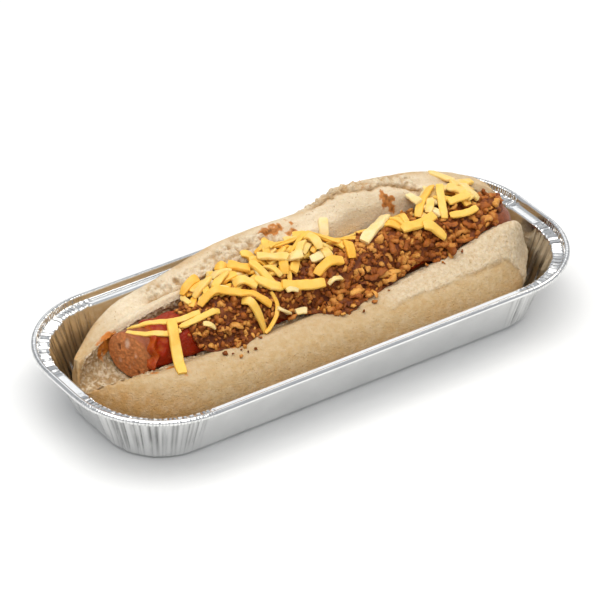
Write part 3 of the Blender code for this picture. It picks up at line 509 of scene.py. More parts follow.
def noise_along(runs, size, *rest):
    """Smooth noise from -1 to 1 along a line, with bumps of about this size."""
    return np.array([noise.noise((run / size, *rest)) for run in runs])


def ridges_at(points, size, seed=0.0):
    """Sharp torn ridges from 0 to 1 at each point."""
    return 1 - np.abs(noise_at(points, size, seed)) * 2.2


def clumps_at(points, size, wanted):
    """Rounded clumps of about this size, 1 at their tops, at the points where wanted is above 0."""
    found = np.zeros(points.shape[:-1])
    chosen = wanted > 0
    scaled = points[chosen] / size
    tops = (1 - 1.25 * noise.voronoi(p)[0][0] for p in scaled.tolist())
    found[chosen] = np.fromiter(tops, float, len(scaled))
    return found


def grid_normals(grid):
    """Unit normals of a grid of points, its second direction closed on itself."""
    along = np.gradient(grid, axis=0)
    around = np.roll(grid, -1, axis=1) - np.roll(grid, 1, axis=1)
    normals = np.cross(around, along)
    sizes = np.linalg.norm(normals, axis=2, keepdims=True)
    return normals / np.maximum(sizes, 1e-12)


def wall_faces(index):
    """Quads between each row of point numbers and the next, every row closed on itself."""
    near, far = index[:-1], index[1:]
    corners = [near, np.roll(near, -1, 1), np.roll(far, -1, 1), far]
    return np.stack(corners, axis=2).reshape(-1, 4).tolist()


def tube_mesh(name, grid):
    """Closed mesh of rings of points, its two ends closed with fans, its faces outwards."""
    rings, sides = grid.shape[:2]
    index = np.arange(rings * sides).reshape(rings, sides)
    faces = wall_faces(index)
    points = np.concatenate([grid.reshape(-1, 3), [grid[0].mean(0)], [grid[-1].mean(0)]])
    for side in range(sides):
        after = (side + 1) % sides
        faces.append((int(index[0][after]), int(index[0][side]), rings * sides))
        faces.append((int(index[-1][side]), int(index[-1][after]), rings * sides + 1))
    mesh = bpy.data.meshes.new(name)
    mesh.from_pydata(points.tolist(), [], faces)
    face_outwards(mesh)
    return mesh


def face_outwards(mesh):
    body = bmesh.new()
    body.from_mesh(mesh)
    bmesh.ops.recalc_face_normals(body, faces=body.faces)
    body.to_mesh(mesh)
    body.free()


def set_attribute(mesh, name, values, kind="FLOAT"):
    attribute = mesh.attributes.new(name, kind, "POINT")
    key = "vector" if kind == "FLOAT_VECTOR" else "value"
    attribute.data.foreach_set(key, np.ascontiguousarray(values, np.float32).reshape(-1))


def set_tone(mesh, tone):
    """Gives all of a mesh one tone between its material's darkest and lightest."""
    set_attribute(mesh, "tone", np.full(len(mesh.vertices), tone))


def add_piece(name, mesh, material, nodes, sharp_angle=60):
    """Puts a finished mesh in the scene as the piece that stands for these CAD nodes."""
    mesh.materials.clear()
    mesh.materials.append(material)
    mesh.shade_smooth()
    mesh.set_sharp_from_angle(angle=math.radians(sharp_angle))
    piece = bpy.data.objects.new(name, mesh)
    bpy.context.scene.collection.objects.link(piece)
    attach(piece, BODY)
    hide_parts(*nodes)
    return piece


# Materials

def dimmed(colour, amount=1.0):
    """The colour with each of its channels multiplied by this amount."""
    return tuple(amount * channel for channel in colour)


class NodeBoard:
    """Short way to lay out one node tree."""

    def __init__(self, tree):
        self.tree = tree
        self.column = 0

    def add(self, kind, inputs=(), **choices):
        node = self.tree.nodes.new(kind)
        node.location = (220 * (self.column % 12), -260 * (self.column // 12))
        self.column += 1
        for name, value in choices.items():
            setattr(node, name, value)
        for name, value in dict(inputs).items():
            self.put(node.inputs[name], value)
        return node

    def put(self, socket, value):
        if isinstance(value, bpy.types.NodeSocket):
            self.tree.links.new(value, socket)
        elif isinstance(value, tuple) and len(value) == 3 and socket.type == "RGBA":
            socket.default_value = (*value, 1.0)
        else:
            socket.default_value = value

    def math(self, operation, first, second, clamp=False):
        inputs = {0: first, 1: second}
        return self.add("ShaderNodeMath", inputs, operation=operation, use_clamp=clamp).outputs[0]

    def plus(self, first, second, clamp=False):
        return self.math("ADD", first, second, clamp)

    def times(self, first, second, clamp=False):
        return self.math("MULTIPLY", first, second, clamp)

    def mix(self, factor, first, second):
        node = self.add("ShaderNodeMix", data_type="RGBA")
        self.put(node.inputs[0], factor)
        self.put(node.inputs[6], first)
        self.put(node.inputs[7], second)
        return node.outputs[2]

    def spread(self, value, low, high, to_low=0.0, to_high=1.0):
        inputs = {0: value, 1: low, 2: high, 3: to_low, 4: to_high}
        return self.add("ShaderNodeMapRange", inputs).outputs[0]

    def between(self, mask, low, high):
        """Low where the mask is 0 and high where it is 1."""
        return self.spread(mask, 0.0, 1.0, low, high)

    def attribute(self, name):
        return self.add("ShaderNodeAttribute", attribute_name=name).outputs["Fac"]

    def place(self):
        return self.add("ShaderNodeTexCoord").outputs["Object"]

    def clouds(self, place, scale, detail, **more):
        inputs = {"Vector": place, "Scale": scale, "Detail": detail, **more}
        return self.add("ShaderNodeTexNoise", inputs).outputs[0]

    def cells(self, place, scale):
        return self.add("ShaderNodeTexVoronoi", {"Vector": place, "Scale": scale}).outputs["Distance"]

    def tones(self, tone, *stops):
        """Colour of this tone between three stops, each a position and a colour."""
        node = self.add("ShaderNodeValToRGB", {"Fac": tone})
        elements = node.color_ramp.elements
        (first, low), (between, middle), (last, high) = stops
        elements[0].position, elements[0].color = first, (*low, 1.0)
        elements[1].position, elements[1].color = last, (*high, 1.0)
        elements.new(between).color = (*middle, 1.0)
        return node.outputs["Color"]


def tree_input(tree, name, kind, value=None):
    socket = tree.interface.new_socket(name, in_out="INPUT", socket_type=kind)
    if value is not None:
        socket.default_value = value
    return socket.identifier


def new_material(name):
    material = bpy.data.materials.new(name)
    material.use_nodes = True
    board = NodeBoard(material.node_tree)
    return material, board, material.node_tree.nodes["Principled BSDF"]


def grain_group():
    """Mottled tone and fine relief, shared by the foil and all the food."""
    found = bpy.data.node_groups.get("food grain")
    if found:
        return found
    tree = bpy.data.node_groups.new("food grain", "ShaderNodeTree")
    for name, value in (("Blotch Size", 0.006), ("Grain Size", 0.0008)):
        tree_input(tree, name, "NodeSocketFloat", value)
    for name in ("Blotches", "Grain", "Relief"):
        tree.interface.new_socket(name, in_out="OUTPUT", socket_type="NodeSocketFloat")
    board = NodeBoard(tree)
    given = board.add("NodeGroupInput").outputs
    place = board.place()
    blotches = board.clouds(place, board.math("DIVIDE", 1.0, given["Blotch Size"]), 3.0)
    grain = board.clouds(place, board.math("DIVIDE", 1.0, given["Grain Size"]), 4.0, Roughness=0.6)
    masks = {"Blotches": board.spread(blotches, 0.32, 0.68), "Grain": board.spread(grain, 0.30, 0.70)}
    board.add("NodeGroupOutput", {**masks, "Relief": grain})
    return tree


def add_grain(board, blotch_size, grain_size):
    sizes = {"Blotch Size": blotch_size, "Grain Size": grain_size}
    node = board.add("ShaderNodeGroup", node_tree=grain_group())
    for name, size in sizes.items():
        node.inputs[name].default_value = size
    return node.outputs


def soften(shader, weight, radius, scale):
    """Lets light soak into the surface, red the furthest."""
    shader.inputs["Subsurface Weight"].default_value = weight
    shader.inputs["Subsurface Radius"].default_value = radius
    shader.inputs["Subsurface Scale"].default_value = scale


def finish_look(board, shader, base, roughness, relief, depth, strength):
    """Joins the colour, the roughness and the relief to the shader."""
    bump = board.add("ShaderNodeBump", {"Height": relief, "Distance": depth, "Strength": strength})
    board.put(shader.inputs["Base Color"], base)
    board.put(shader.inputs["Roughness"], roughness)
    board.put(shader.inputs["Normal"], bump.outputs[0])


def foil_material():
    look = settings("tray_settings")
    material, board, shader = new_material("pressed foil")
    grain = add_grain(board, 0.012, 0.0016)
    shader.inputs["Metallic"].default_value = 1.0
    tint = board.mix(grain["Blotches"], dimmed(look.metal), dimmed(look.metal, 0.93))
    # Painted shade: along the folds, pleats and crimps the foil's colour falls to a quarter of the metal's.
    tint = board.mix(board.attribute("crease"), tint, dimmed(look.metal, 0.26))
    dull = board.between(grain["Grain"], look.dullness - 0.03, look.dullness + 0.05)
    dull = board.plus(dull, board.times(board.attribute("wall"), 0.05))
    finish_look(board, shader, tint, dull, grain["Relief"], 0.00002, 0.15)
    return material


def bread_material():
    look = settings("bread_settings")
    golden, flour = dimmed(look.golden), dimmed(look.flour)
    material, board, shader = new_material("floured crust")
    grain = add_grain(board, 0.007, 0.0011)
    place = board.place()
    patchy = board.clouds(place, 260.0, 2.0)
    mottle = board.clouds(place, 330.0, 3.0)

    gold = board.plus(board.attribute("gold"), board.between(grain["Blotches"], -0.10, 0.12), True)
    base = board.mix(gold, dimmed(look.crust), golden)
    base = board.mix(board.spread(mottle, 0.42, 0.66, 0.0, 0.16), base, flour)
    base = board.mix(board.spread(mottle, 0.46, 0.34, 0.0, 0.14), base, golden)
    floured = board.times(board.attribute("flour"), board.between(grain["Grain"], 0.62, 1.0))
    base = board.mix(floured, base, flour)
    specks = board.spread(board.cells(place, 620.0), 0.10, 0.24, 1.0, 0.0)
    speckled = board.times(specks, board.spread(patchy, 0.48, 0.60, 0.0, 0.75))
    base = board.mix(speckled, base, dimmed(look.golden, 0.8))

    fluff = board.clouds(place, 560.0, 5.0, Roughness=0.6, Distortion=0.5)
    torn = board.plus(board.times(fluff, 1.9), board.times(board.cells(place, 600.0), 0.4))
    # The crumb is darker in the low places of its texture, as painted shade in its pores.
    crumb = board.mix(board.spread(torn, 0.75, 1.30), dimmed(look.crumb, 0.62), dimmed(look.crumb))
    base = board.mix(board.attribute("crumb"), base, crumb)
    rough = board.attribute("rough")
    # Painted shade and light that follow the rough relief: its pits are darker golden, and its tops take the
    # flour's colour, partly flour and partly painted highlight.
    pit_shade = board.times(rough, board.spread(torn, 1.02, 0.78, 0.0, 0.6))
    base = board.mix(pit_shade, base, dimmed(look.golden, 0.95))
    flour_and_highlight_tops = board.times(rough, board.spread(torn, 1.10, 1.40, 0.0, 0.7))
    base = board.mix(flour_and_highlight_tops, base, flour)
    # Painted shade: darker golden in the slashes' creases, between the clumps of torn dough, along the
    # front's crease and in the crumb's low places.
    base = board.mix(board.attribute("hollow_shade"), base, dimmed(look.golden, 0.85))

    uneven = board.spread(patchy, 0.30, 0.70, -0.60, 0.18)
    browned = board.plus(board.attribute("toast"), uneven)
    base = board.mix(board.spread(browned, 0.18, 0.42, 0.0, 0.95), base, dimmed(look.toasted))
    base = board.mix(board.spread(browned, 0.50, 0.80, 0.0, 0.8), base, dimmed(look.toasted, 0.3))
    soak = board.spread(board.plus(board.attribute("soak"), uneven), 0.18, 0.55)
    base = board.mix(soak, base, dimmed(look.soaked))

    soften(shader, 0.12, (1.0, 0.6, 0.3), 0.0015)
    relief = board.math("SUBTRACT", grain["Relief"], board.times(specks, 0.25))
    relief = board.plus(relief, board.times(mottle, 0.4))
    relief = board.plus(relief, board.times(board.times(torn, rough), 1.2))
    finish_look(board, shader, base, board.between(soak, 0.78, 0.45), relief, 0.0008, 0.8)
    return material


def sausage_material():
    look = settings("sausage_settings")
    material, board, shader = new_material("grilled sausage")
    grain = add_grain(board, 0.0022, 0.0007)
    cut = board.attribute("cut")
    mince = board.spread(board.cells(board.place(), 700.0), 0.3, 0.8, 0.0, 0.6)
    meat = board.mix(grain["Blotches"], dimmed(look.meat, 0.80), dimmed(look.meat, 1.2))
    meat = board.mix(mince, meat, dimmed(look.meat, 0.5))
    meat = board.mix(board.attribute("fat"), meat, dimmed(look.fat))
    skin = board.mix(grain["Blotches"], dimmed(look.skin), dimmed(look.skin, 0.6))
    base = board.mix(cut, skin, meat)
    # Painted shade: the small holes in the cut face take a near black colour.
    base = board.mix(board.attribute("hollow_shade"), base, dimmed(look.hole))
    shader.inputs["Specular IOR Level"].default_value = 0.3
    soften(shader, 0.10, (1.0, 0.35, 0.2), 0.0015)
    finish_look(board, shader, base, board.between(cut, 0.32, 0.55), grain["Relief"], 0.0006, 0.6)
    return material


def sauce_material():
    look = settings("sauce_settings")
    material, board, shader = new_material("red sauce")
    grain = add_grain(board, 0.004, 0.0012)
    thin = board.times(board.attribute("thin"), board.between(grain["Blotches"], 0.5, 1.2), True)
    base = board.mix(thin, dimmed(look.red), dimmed(look.thin))
    base = board.mix(board.spread(grain["Blotches"], 0.55, 1.0, 0.0, 0.45), base, dimmed(look.thin))
    shader.inputs["Specular IOR Level"].default_value = 0.22
    soften(shader, 0.06, (1.0, 0.2, 0.05), 0.0015)
    dull = board.between(grain["Grain"], 0.10, 0.22)
    finish_look(board, shader, base, dull, grain["Relief"], 0.0012, 0.6)
    return material


def onion_material():
    look = settings("onion_settings")
    material, board, shader = new_material("fried onion")
    grain = add_grain(board, 0.0026, 0.0006)
    tone = board.plus(board.attribute("tone"), board.between(grain["Blotches"], -0.18, 0.14), True)
    base = board.tones(tone, (0.08, look.dark), (0.55, look.brown), (0.96, look.light))
    shader.inputs["Specular IOR Level"].default_value = 0.25
    soften(shader, 0.06, (1.0, 0.4, 0.15), 0.001)
    dull = board.between(grain["Grain"], 0.34, 0.60)
    finish_look(board, shader, base, dull, grain["Relief"], 0.0005, 0.7)
    return material


def cheese_material():
    look = settings("cheese_settings")
    material, board, shader = new_material("cheese")
    grain = add_grain(board, 0.004, 0.0009)
    tone = board.plus(board.attribute("tone"), board.between(grain["Blotches"], -0.10, 0.10), True)
    base = board.tones(tone, (0.0, look.pale), (0.55, look.yellow), (1.0, look.deep))
    soften(shader, 0.25, (1.0, 0.7, 0.25), 0.002)
    dull = board.between(grain["Grain"], 0.38, 0.52)
    finish_look(board, shader, base, dull, grain["Relief"], 0.00035, 0.5)
    return material


# Foil tray

def arc(centre, radius, start, end, steps):
    """Points of a circle's arc in the (inset, height) plane, angles in degrees from the inset axis."""
    turn = np.radians(np.linspace(start, end, steps))
    return list(zip(centre[0] + radius * np.cos(turn), centre[1] + radius * np.sin(turn)))


def between(first, second, share_along):
    """The point at this share of the way from the first to the second."""
    return tuple(a + (b - a) * share_along for a, b in zip(first, second))


def rounded_corner(before, corner, after, radius, steps):
    """Points that take a corner of the profile round, as a short curve between its two sides."""
    before, corner, after = (np.array(p) for p in (before, corner, after))
    start = corner + (before - corner) / np.linalg.norm(before - corner) * radius
    end = corner + (after - corner) / np.linalg.norm(after - corner) * radius
    shares = np.linspace(0, 1, steps)
    return [tuple((1 - t) ** 2 * start + 2 * t * (1 - t) * corner + t**2 * end) for t in shares]


def tray_profile():
    """The foil's middle line from base to bead: inset, height, and its share of wall, ledge and bead."""
    ledge_height = TRAY_HEIGHT - RIM_STEP
    wall_top = LEDGE_INSET + LEDGE_WIDTH
    lean = math.degrees(math.atan(WALL_LEAN / ledge_height))
    fillet_centre = (wall_top + WALL_LEAN + BASE_FILLET * 0.75, SOLID_FOIL / 2 + BASE_FILLET)
    bead_centre = (BEAD_RADIUS + SOLID_FOIL / 2, TRAY_HEIGHT - BEAD_RADIUS - SOLID_FOIL / 2)
    lip = (wall_top, ledge_height)
    heel = (LEDGE_INSET, ledge_height)
    fillet = arc(fillet_centre, BASE_FILLET, 270, 180 + lean, FILLET_STEPS)
    bead = arc(bead_centre, BEAD_RADIUS, 0, BEAD_SWEEP, BEAD_STEPS)
    lip_curve = rounded_corner(fillet[-1], lip, heel, LIP_ROUNDING, LIP_STEPS)
    heel_curve = rounded_corner(lip, heel, bead[0], HEEL_ROUNDING, HEEL_STEPS)
    rows = [(inset, fillet[0][1], 0.0, 0.0, 0.0) for inset in BASE_INSETS]
    rows += [(*point, 0.35 * step / (FILLET_STEPS - 1), 0.0, 0.0) for step, point in enumerate(fillet)]
    for t in np.linspace(0, 1, WALL_STEPS)[1:-1]:
        inset, height = between(fillet[-1], lip_curve[0], t)
        wall = min(1.0, 0.35 + 2.0 * t) * (1 - 0.6 * float(ramp(t, 0.7, 1.0)))
        rows.append((inset, height, wall, 0.0, 0.0))
    on_ledge = np.linspace(0, 1, LIP_STEPS)
    rows += [(*point, 0.4 - 0.07 * step, on_ledge[step], 0.0) for step, point in enumerate(lip_curve)]
    for t in (0.25, 0.5, 0.75):
        rows.append((*between(lip_curve[-1], heel_curve[0], t), 0.1, 1.0, 0.0))
    rows += [(*point, 0.05, 1.0 - 0.28 * step, 0.30 * step) for step, point in enumerate(heel_curve)]
    rows += [(*point, 0.0, 0.0, 1.0) for point in bead]
    return np.array(rows)


def rim_columns():
    """Each column's centre, outward direction, run and depth in a corner, and the rim's whole run."""
    half_length, half_width = TRAY_LENGTH / 2 - CORNER_RADIUS, TRAY_WIDTH / 2 - CORNER_RADIUS
    corner_run = CORNER_RADIUS * math.pi / 2
    corners = [(half_length, half_width, 0), (-half_length, half_width, 90),
               (-half_length, -half_width, 180), (half_length, -half_width, 270)]
    columns = []
    run = 0.0
    for number, (cx, cy, start) in enumerate(corners):
        for step in range(CORNER_COLUMNS):
            t = step / CORNER_COLUMNS
            turn = math.radians(start + 90 * t)
            depth = min(t, 1 - t) * corner_run
            columns.append((cx, cy, math.cos(turn), math.sin(turn), run + corner_run * t, depth))
        run += corner_run
        nx, ny, _ = corners[(number + 1) % 4]
        gap = math.dist((cx, cy), (nx, ny))
        turn = math.radians(start + 90)
        outward = (math.cos(turn), math.sin(turn))
        fine = np.arange(0.0, min(FINE_RUN, gap / 2), FINE_STEP)
        count = max(3, round((gap - 2 * fine[-1]) / COARSE_STEP))
        middle = np.linspace(fine[-1], gap - fine[-1], count)[1:-1]
        for at in [*fine, *middle, *(gap - fine[:0:-1])]:
            t = at / gap
            columns.append((cx + (nx - cx) * t, cy + (ny - cy) * t, *outward, run + at, -min(at, gap - at)))
        run += gap
    return np.array(columns), run


def folds(chance, total, least, most):
    """Sharp zigzag along the rim, as (run, push) rows with folds at uneven distances."""
    runs, pushes = [0.0], [0.0]
    sign = 1
    while runs[-1] < total:
        runs.append(runs[-1] + chance.uniform(least, most))
        pushes.append(sign * chance.uniform(0.35, 1.0))
        sign = -sign
    return np.array(runs), np.array(pushes)


def pleats(chance, count, least, most):
    """Height of each column from -1 to 1: a zigzag whose tops and bottoms are this many columns apart."""
    knots, heights = [0], [0.0]
    sign = 1
    while knots[-1] < count:
        knots.append(knots[-1] + chance.randint(least, most))
        heights.append(sign * chance.uniform(0.5, 1.0))
        sign = -sign
    return np.interp(np.arange(count), knots, heights)


def spikes(chance, runs, half_width):
    """Rows for a line that is 0 but for narrow spikes of uneven heights at these runs."""
    positions = np.stack([runs - half_width, runs, runs + half_width], axis=1).reshape(-1)
    heights = np.array([(0.0, max(0.0, chance.uniform(-0.3, 1.0)), 0.0) for _ in runs]).reshape(-1)
    return positions, heights


def make_tray_mesh():
    look = settings("tray_settings")
    chance = random.Random(TRAY_SEED)
    columns, total = rim_columns()
    profile = tray_profile()
    run = columns[:, 4]
    in_corner = ramp(columns[:, 5], FOLDS_BEGIN, FOLDS_FULL)
    wall_folds, small_folds, wide_folds = [folds(chance, total + 0.01, *gaps) for gaps in FOLD_GAPS]
    # Narrow spikes at the folds, painted as dark shade lines into the foil's colour.
    fold_shade_lines = spikes(chance, wall_folds[0], FOLD_SHADOW)
    wide_fold_shade_lines = spikes(chance, wide_folds[0], WIDE_FOLD_SHADOW)
    ledge_pleats = pleats(chance, len(run), *PLEAT_GAPS)
    crimps = np.minimum(pleats(chance, len(run), *CRIMP_GAPS), 0.0)
    lean_of_folds = FOLD_LEAN * noise_along(run, 0.013, 3.1, 0.0)
    waviness = noise_along(run, 0.030, 7.7, 0.0)
    grid, painted_fold_shade = [], []
    for inset, height, wall, ledge, bead in profile:
        slide = run + lean_of_folds * (height / TRAY_HEIGHT) * 2 + FIRST_FOLD
        fading = 0.55 + 0.45 * (0.5 + 0.5 * noise_along(run, 0.006, height / 0.009, 1.5))
        push = look.fold * np.interp(slide, *wall_folds) * wall
        push = push * fading + 0.45 * look.fold * np.interp(slide, *small_folds) * wall * (1.3 - fading)
        push += 0.8 * look.fold * np.interp(slide, *wide_folds) * wall
        push = push * in_corner + WALL_WAVE * waviness * wall * (1 - in_corner)
        push += look.crimp * crimps * bead * in_corner
        lift = look.pleat * ledge_pleats * ledge * in_corner + LEDGE_WAVE * waviness * ledge
        # Painted shade: the foil darkens in the wall's inward folds and along its fold lines, in the valleys
        # of the ledge's pleats and in the bead's crimps.
        valley_shade = 0.75 * ramp(-np.interp(slide, *wall_folds), 0.0, 0.8)
        dark = np.maximum(np.interp(slide, *fold_shade_lines), np.interp(slide, *wide_fold_shade_lines))
        dark = np.maximum(dark, valley_shade) * wall * ramp(fading, 0.55, 0.80)
        rim_shade = np.maximum(0.9 * ledge * ramp(-ledge_pleats, 0.30, 0.8), -0.6 * bead * crimps)
        painted_fold_shade.append(np.maximum(dark, rim_shade) * in_corner)
        reach = CORNER_RADIUS - inset + push
        x, y = (columns[:, k] + columns[:, k + 2] * reach for k in (0, 1))
        grid.append(np.stack([x, y, height + lift], axis=1))
    grid = np.array(grid)
    rings, sides = grid.shape[:2]
    index = np.arange(rings * sides).reshape(rings, sides)
    mesh = bpy.data.meshes.new("tray")
    mesh.from_pydata(grid.reshape(-1, 3).tolist(), [], [*wall_faces(index), index[0][::-1].tolist()])
    face_outwards(mesh)
    # The crease attribute carries the painted shade of the folds, pleats and crimps.
    set_attribute(mesh, "crease", np.array(painted_fold_shade))
    set_attribute(mesh, "wall", np.repeat(ramp(profile[:, 2], 0.0, 0.3), sides))
    return mesh


# Bread roll

def fullness(x):
    """How full the roll is at this x: 1 in the middle, falling to 0 at its two ends."""
    if x < LEFT_SHOULDER:
        t, power = (LEFT_SHOULDER - x) / (LEFT_SHOULDER - BREAD_LEFT), LEFT_TAPER
    elif x > RIGHT_SHOULDER:
        t, power = (x - RIGHT_SHOULDER) / (BREAD_RIGHT - RIGHT_SHOULDER), RIGHT_TAPER
    else:
        return 1.0
    return max(0.0, 1.0 - t**power) ** (1 / power)


def sausage_axis(x):
    """(y, z) of the sausage's centre line."""
    along = (x - SAUSAGE_LEFT) / (SAUSAGE_RIGHT - SAUSAGE_LEFT)
    return (0.0005 - 0.0035 * along, 0.0335 + 0.0020 * along)


def wall_inset(height):
    """How far in from the outer rim the bread has to stay at this height."""
    first = len(BASE_INSETS)
    wall = tray_profile()[first:first + FILLET_STEPS + WALL_STEPS - 2]
    return np.interp(height, wall[:, 1], wall[:, 0]) + BREAD_CLEARANCE


def keep_in_tray(grid):
    """Draws points in towards the middle where they would touch the foil."""
    x, y, z = grid[..., 0], grid[..., 1], np.maximum(grid[..., 2], 2 * SOLID_FOIL)
    beyond = np.maximum(0.0, np.abs(x) - (TRAY_LENGTH / 2 - CORNER_RADIUS))
    radius = CORNER_RADIUS - wall_inset(z)
    limit = TRAY_WIDTH / 2 - CORNER_RADIUS + np.sqrt(np.maximum(0.0, radius**2 - beyond**2))
    held = np.clip(y, -limit, limit)
    return np.stack([x, np.where(z > TRAY_HEIGHT - RIM_STEP, y, held), z], axis=-1)


def skyline_height(x, y):
    """Height at (x, y) that just reaches the skyline."""
    beyond = y - SKYLINE_Y
    return float(smooth_row(SKYLINE, x - SKYLINE_SHIFT * beyond)[0]) - SKYLINE_DROP * beyond


def bread_controls(x):
    """Control points of the roll's section at this x: those of the crust, then those of the cut's faces."""
    full = fullness(x)
    axis_y = 0.0030 - 0.025 * x
    sausage_y, sausage_z = sausage_axis(x)
    front, back = smooth_row(SIDES, x)
    front_lip_y, front_lip_z = smooth_row(FRONT_LIP, x)
    back_lip_y, back_lip_z = smooth_row(BACK_LIP, x)
    open_cut = min(1.0, 1.2 * full)

    def level(z):
        return BREAD_AXIS_HEIGHT + (z - BREAD_AXIS_HEIGHT) * full

    def cut(degrees):
        angle = math.radians(degrees)
        radius = (SAUSAGE_RADIUS + CUT_CLEARANCE) * open_cut
        centre_y = axis_y + (sausage_y - axis_y) * open_cut
        centre_z = BREAD_AXIS_HEIGHT + (sausage_z - BREAD_AXIS_HEIGHT) * open_cut
        return (centre_y + radius * math.cos(angle), centre_z + radius * math.sin(angle))

    highest = BREAD_AXIS_HEIGHT + END_RISE * full**END_ROUNDING
    crest_y = axis_y + CREST_OFFSET * full
    crest = min(skyline_height(x, crest_y), highest)
    shoulder_y = back - 0.0060 * full
    shoulder_z = min(max(skyline_height(x, shoulder_y) - 0.0026, level(0.0290)), highest - 0.0015 * full)
    crust = [
        (front_lip_y, front_lip_z),
        (front_lip_y - 0.0065 * full, front_lip_z + 0.0020 * full),
        (front + 0.0045 * full, level(0.0295)),
        (front, level(0.0170)),
        (front + 0.0095 * full, level(0.0045)),
        (axis_y - 0.0120 * full, level(2 * SOLID_FOIL)),
        (axis_y + 0.0160 * full, level(2 * SOLID_FOIL)),
        (back - 0.0085 * full, level(0.0055)),
        (back, level(0.0200)),
        (shoulder_y, shoulder_z),
        (crest_y + 0.0030 * full, crest - 0.0022),
        (crest_y - 0.0022 * full, crest - 0.0020),
        (crest_y - 0.0058 * full, crest - 0.0040 * full),
        (back_lip_y + 0.0022 * full, back_lip_z + 0.55 * (crest - back_lip_z)),
        (back_lip_y, back_lip_z),
    ]
    return crust, [crust[-1], cut(25), cut(-20), cut(-65), cut(-115), cut(-168), crust[0]]


def patches(grid, table):
    """Strength from 0 to 1 at each point of the round patches in the table."""
    found = np.zeros(grid.shape[:-1])
    for x, y, z, radius, strength in table:
        distance = np.linalg.norm((grid - np.array((x, y, z)) * MM) * np.array((1, 1, 0.5)), axis=-1)
        found = np.maximum(found, strength * (1 - ramp(distance, 0.5 * radius * MM, 1.3 * radius * MM)))
    return found


def bread_grid():
    """Rings of points of the smooth roll, and where each point lies along the spans of its section."""
    shares = np.linspace(0, 1, BREAD_RINGS)
    middle, half = (BREAD_LEFT + BREAD_RIGHT) / 2, (BREAD_RIGHT - BREAD_LEFT) / 2 * 0.9985
    stations = middle - half * (0.72 * (1 - 2 * shares) + 0.28 * np.cos(math.pi * shares))
    crusts, cuts = zip(*(bread_controls(x) for x in stations))
    outline = np.concatenate([smooth_lines(crusts, CRUST_SAMPLES), smooth_lines(cuts, CUT_SAMPLES)], axis=1)
    counts = CRUST_SAMPLES + CUT_SAMPLES
    span = np.concatenate([number + np.arange(count) / count for number, count in enumerate(counts)])
    x = np.repeat(stations[:, None], outline.shape[1], axis=1)
    grid = keep_in_tray(np.concatenate([x[..., None], outline], axis=2))
    return grid, np.repeat(span[None, :], BREAD_RINGS, axis=0)


def slashes(grid, on_top):
    """Masks of the torn dough above each slash's crease, of the crease and of the panel below it."""
    x, y = grid[..., 0], grid[..., 1]
    along = np.stack([x, 0 * x, 0 * x], axis=-1)
    torn, groove, below = (np.zeros_like(x) for _ in range(3))
    for crease in (LEFT_CREASE, RIGHT_CREASE):
        begin, end = crease[0][0], crease[-1][0]
        line = np.interp(x / MM, *np.transpose(crease)) * MM
        line += 0.0012 * noise_at(along, 0.006, 2.0) + 0.0009 * noise_at(along, 0.0025, 3.0)
        inside = ramp(x, begin * MM, (begin + SLASH_RUN_OUT) * MM)
        inside *= 1 - ramp(x, (end - SLASH_RUN_OUT) * MM, end * MM)
        above = y - line
        strip = ramp(above, *TORN_BEGINS) * (1 - ramp(above, *TORN_ENDS))
        panel = ramp(-above, *PANEL_NEAR) * (1 - ramp(-above, *PANEL_FAR))
        torn = np.maximum(torn, inside * on_top * strip)
        groove = np.maximum(groove, inside * on_top * hill(above, *CREASE_PLACE))
        below = np.maximum(below, inside * on_top * panel)
    return torn, groove, below


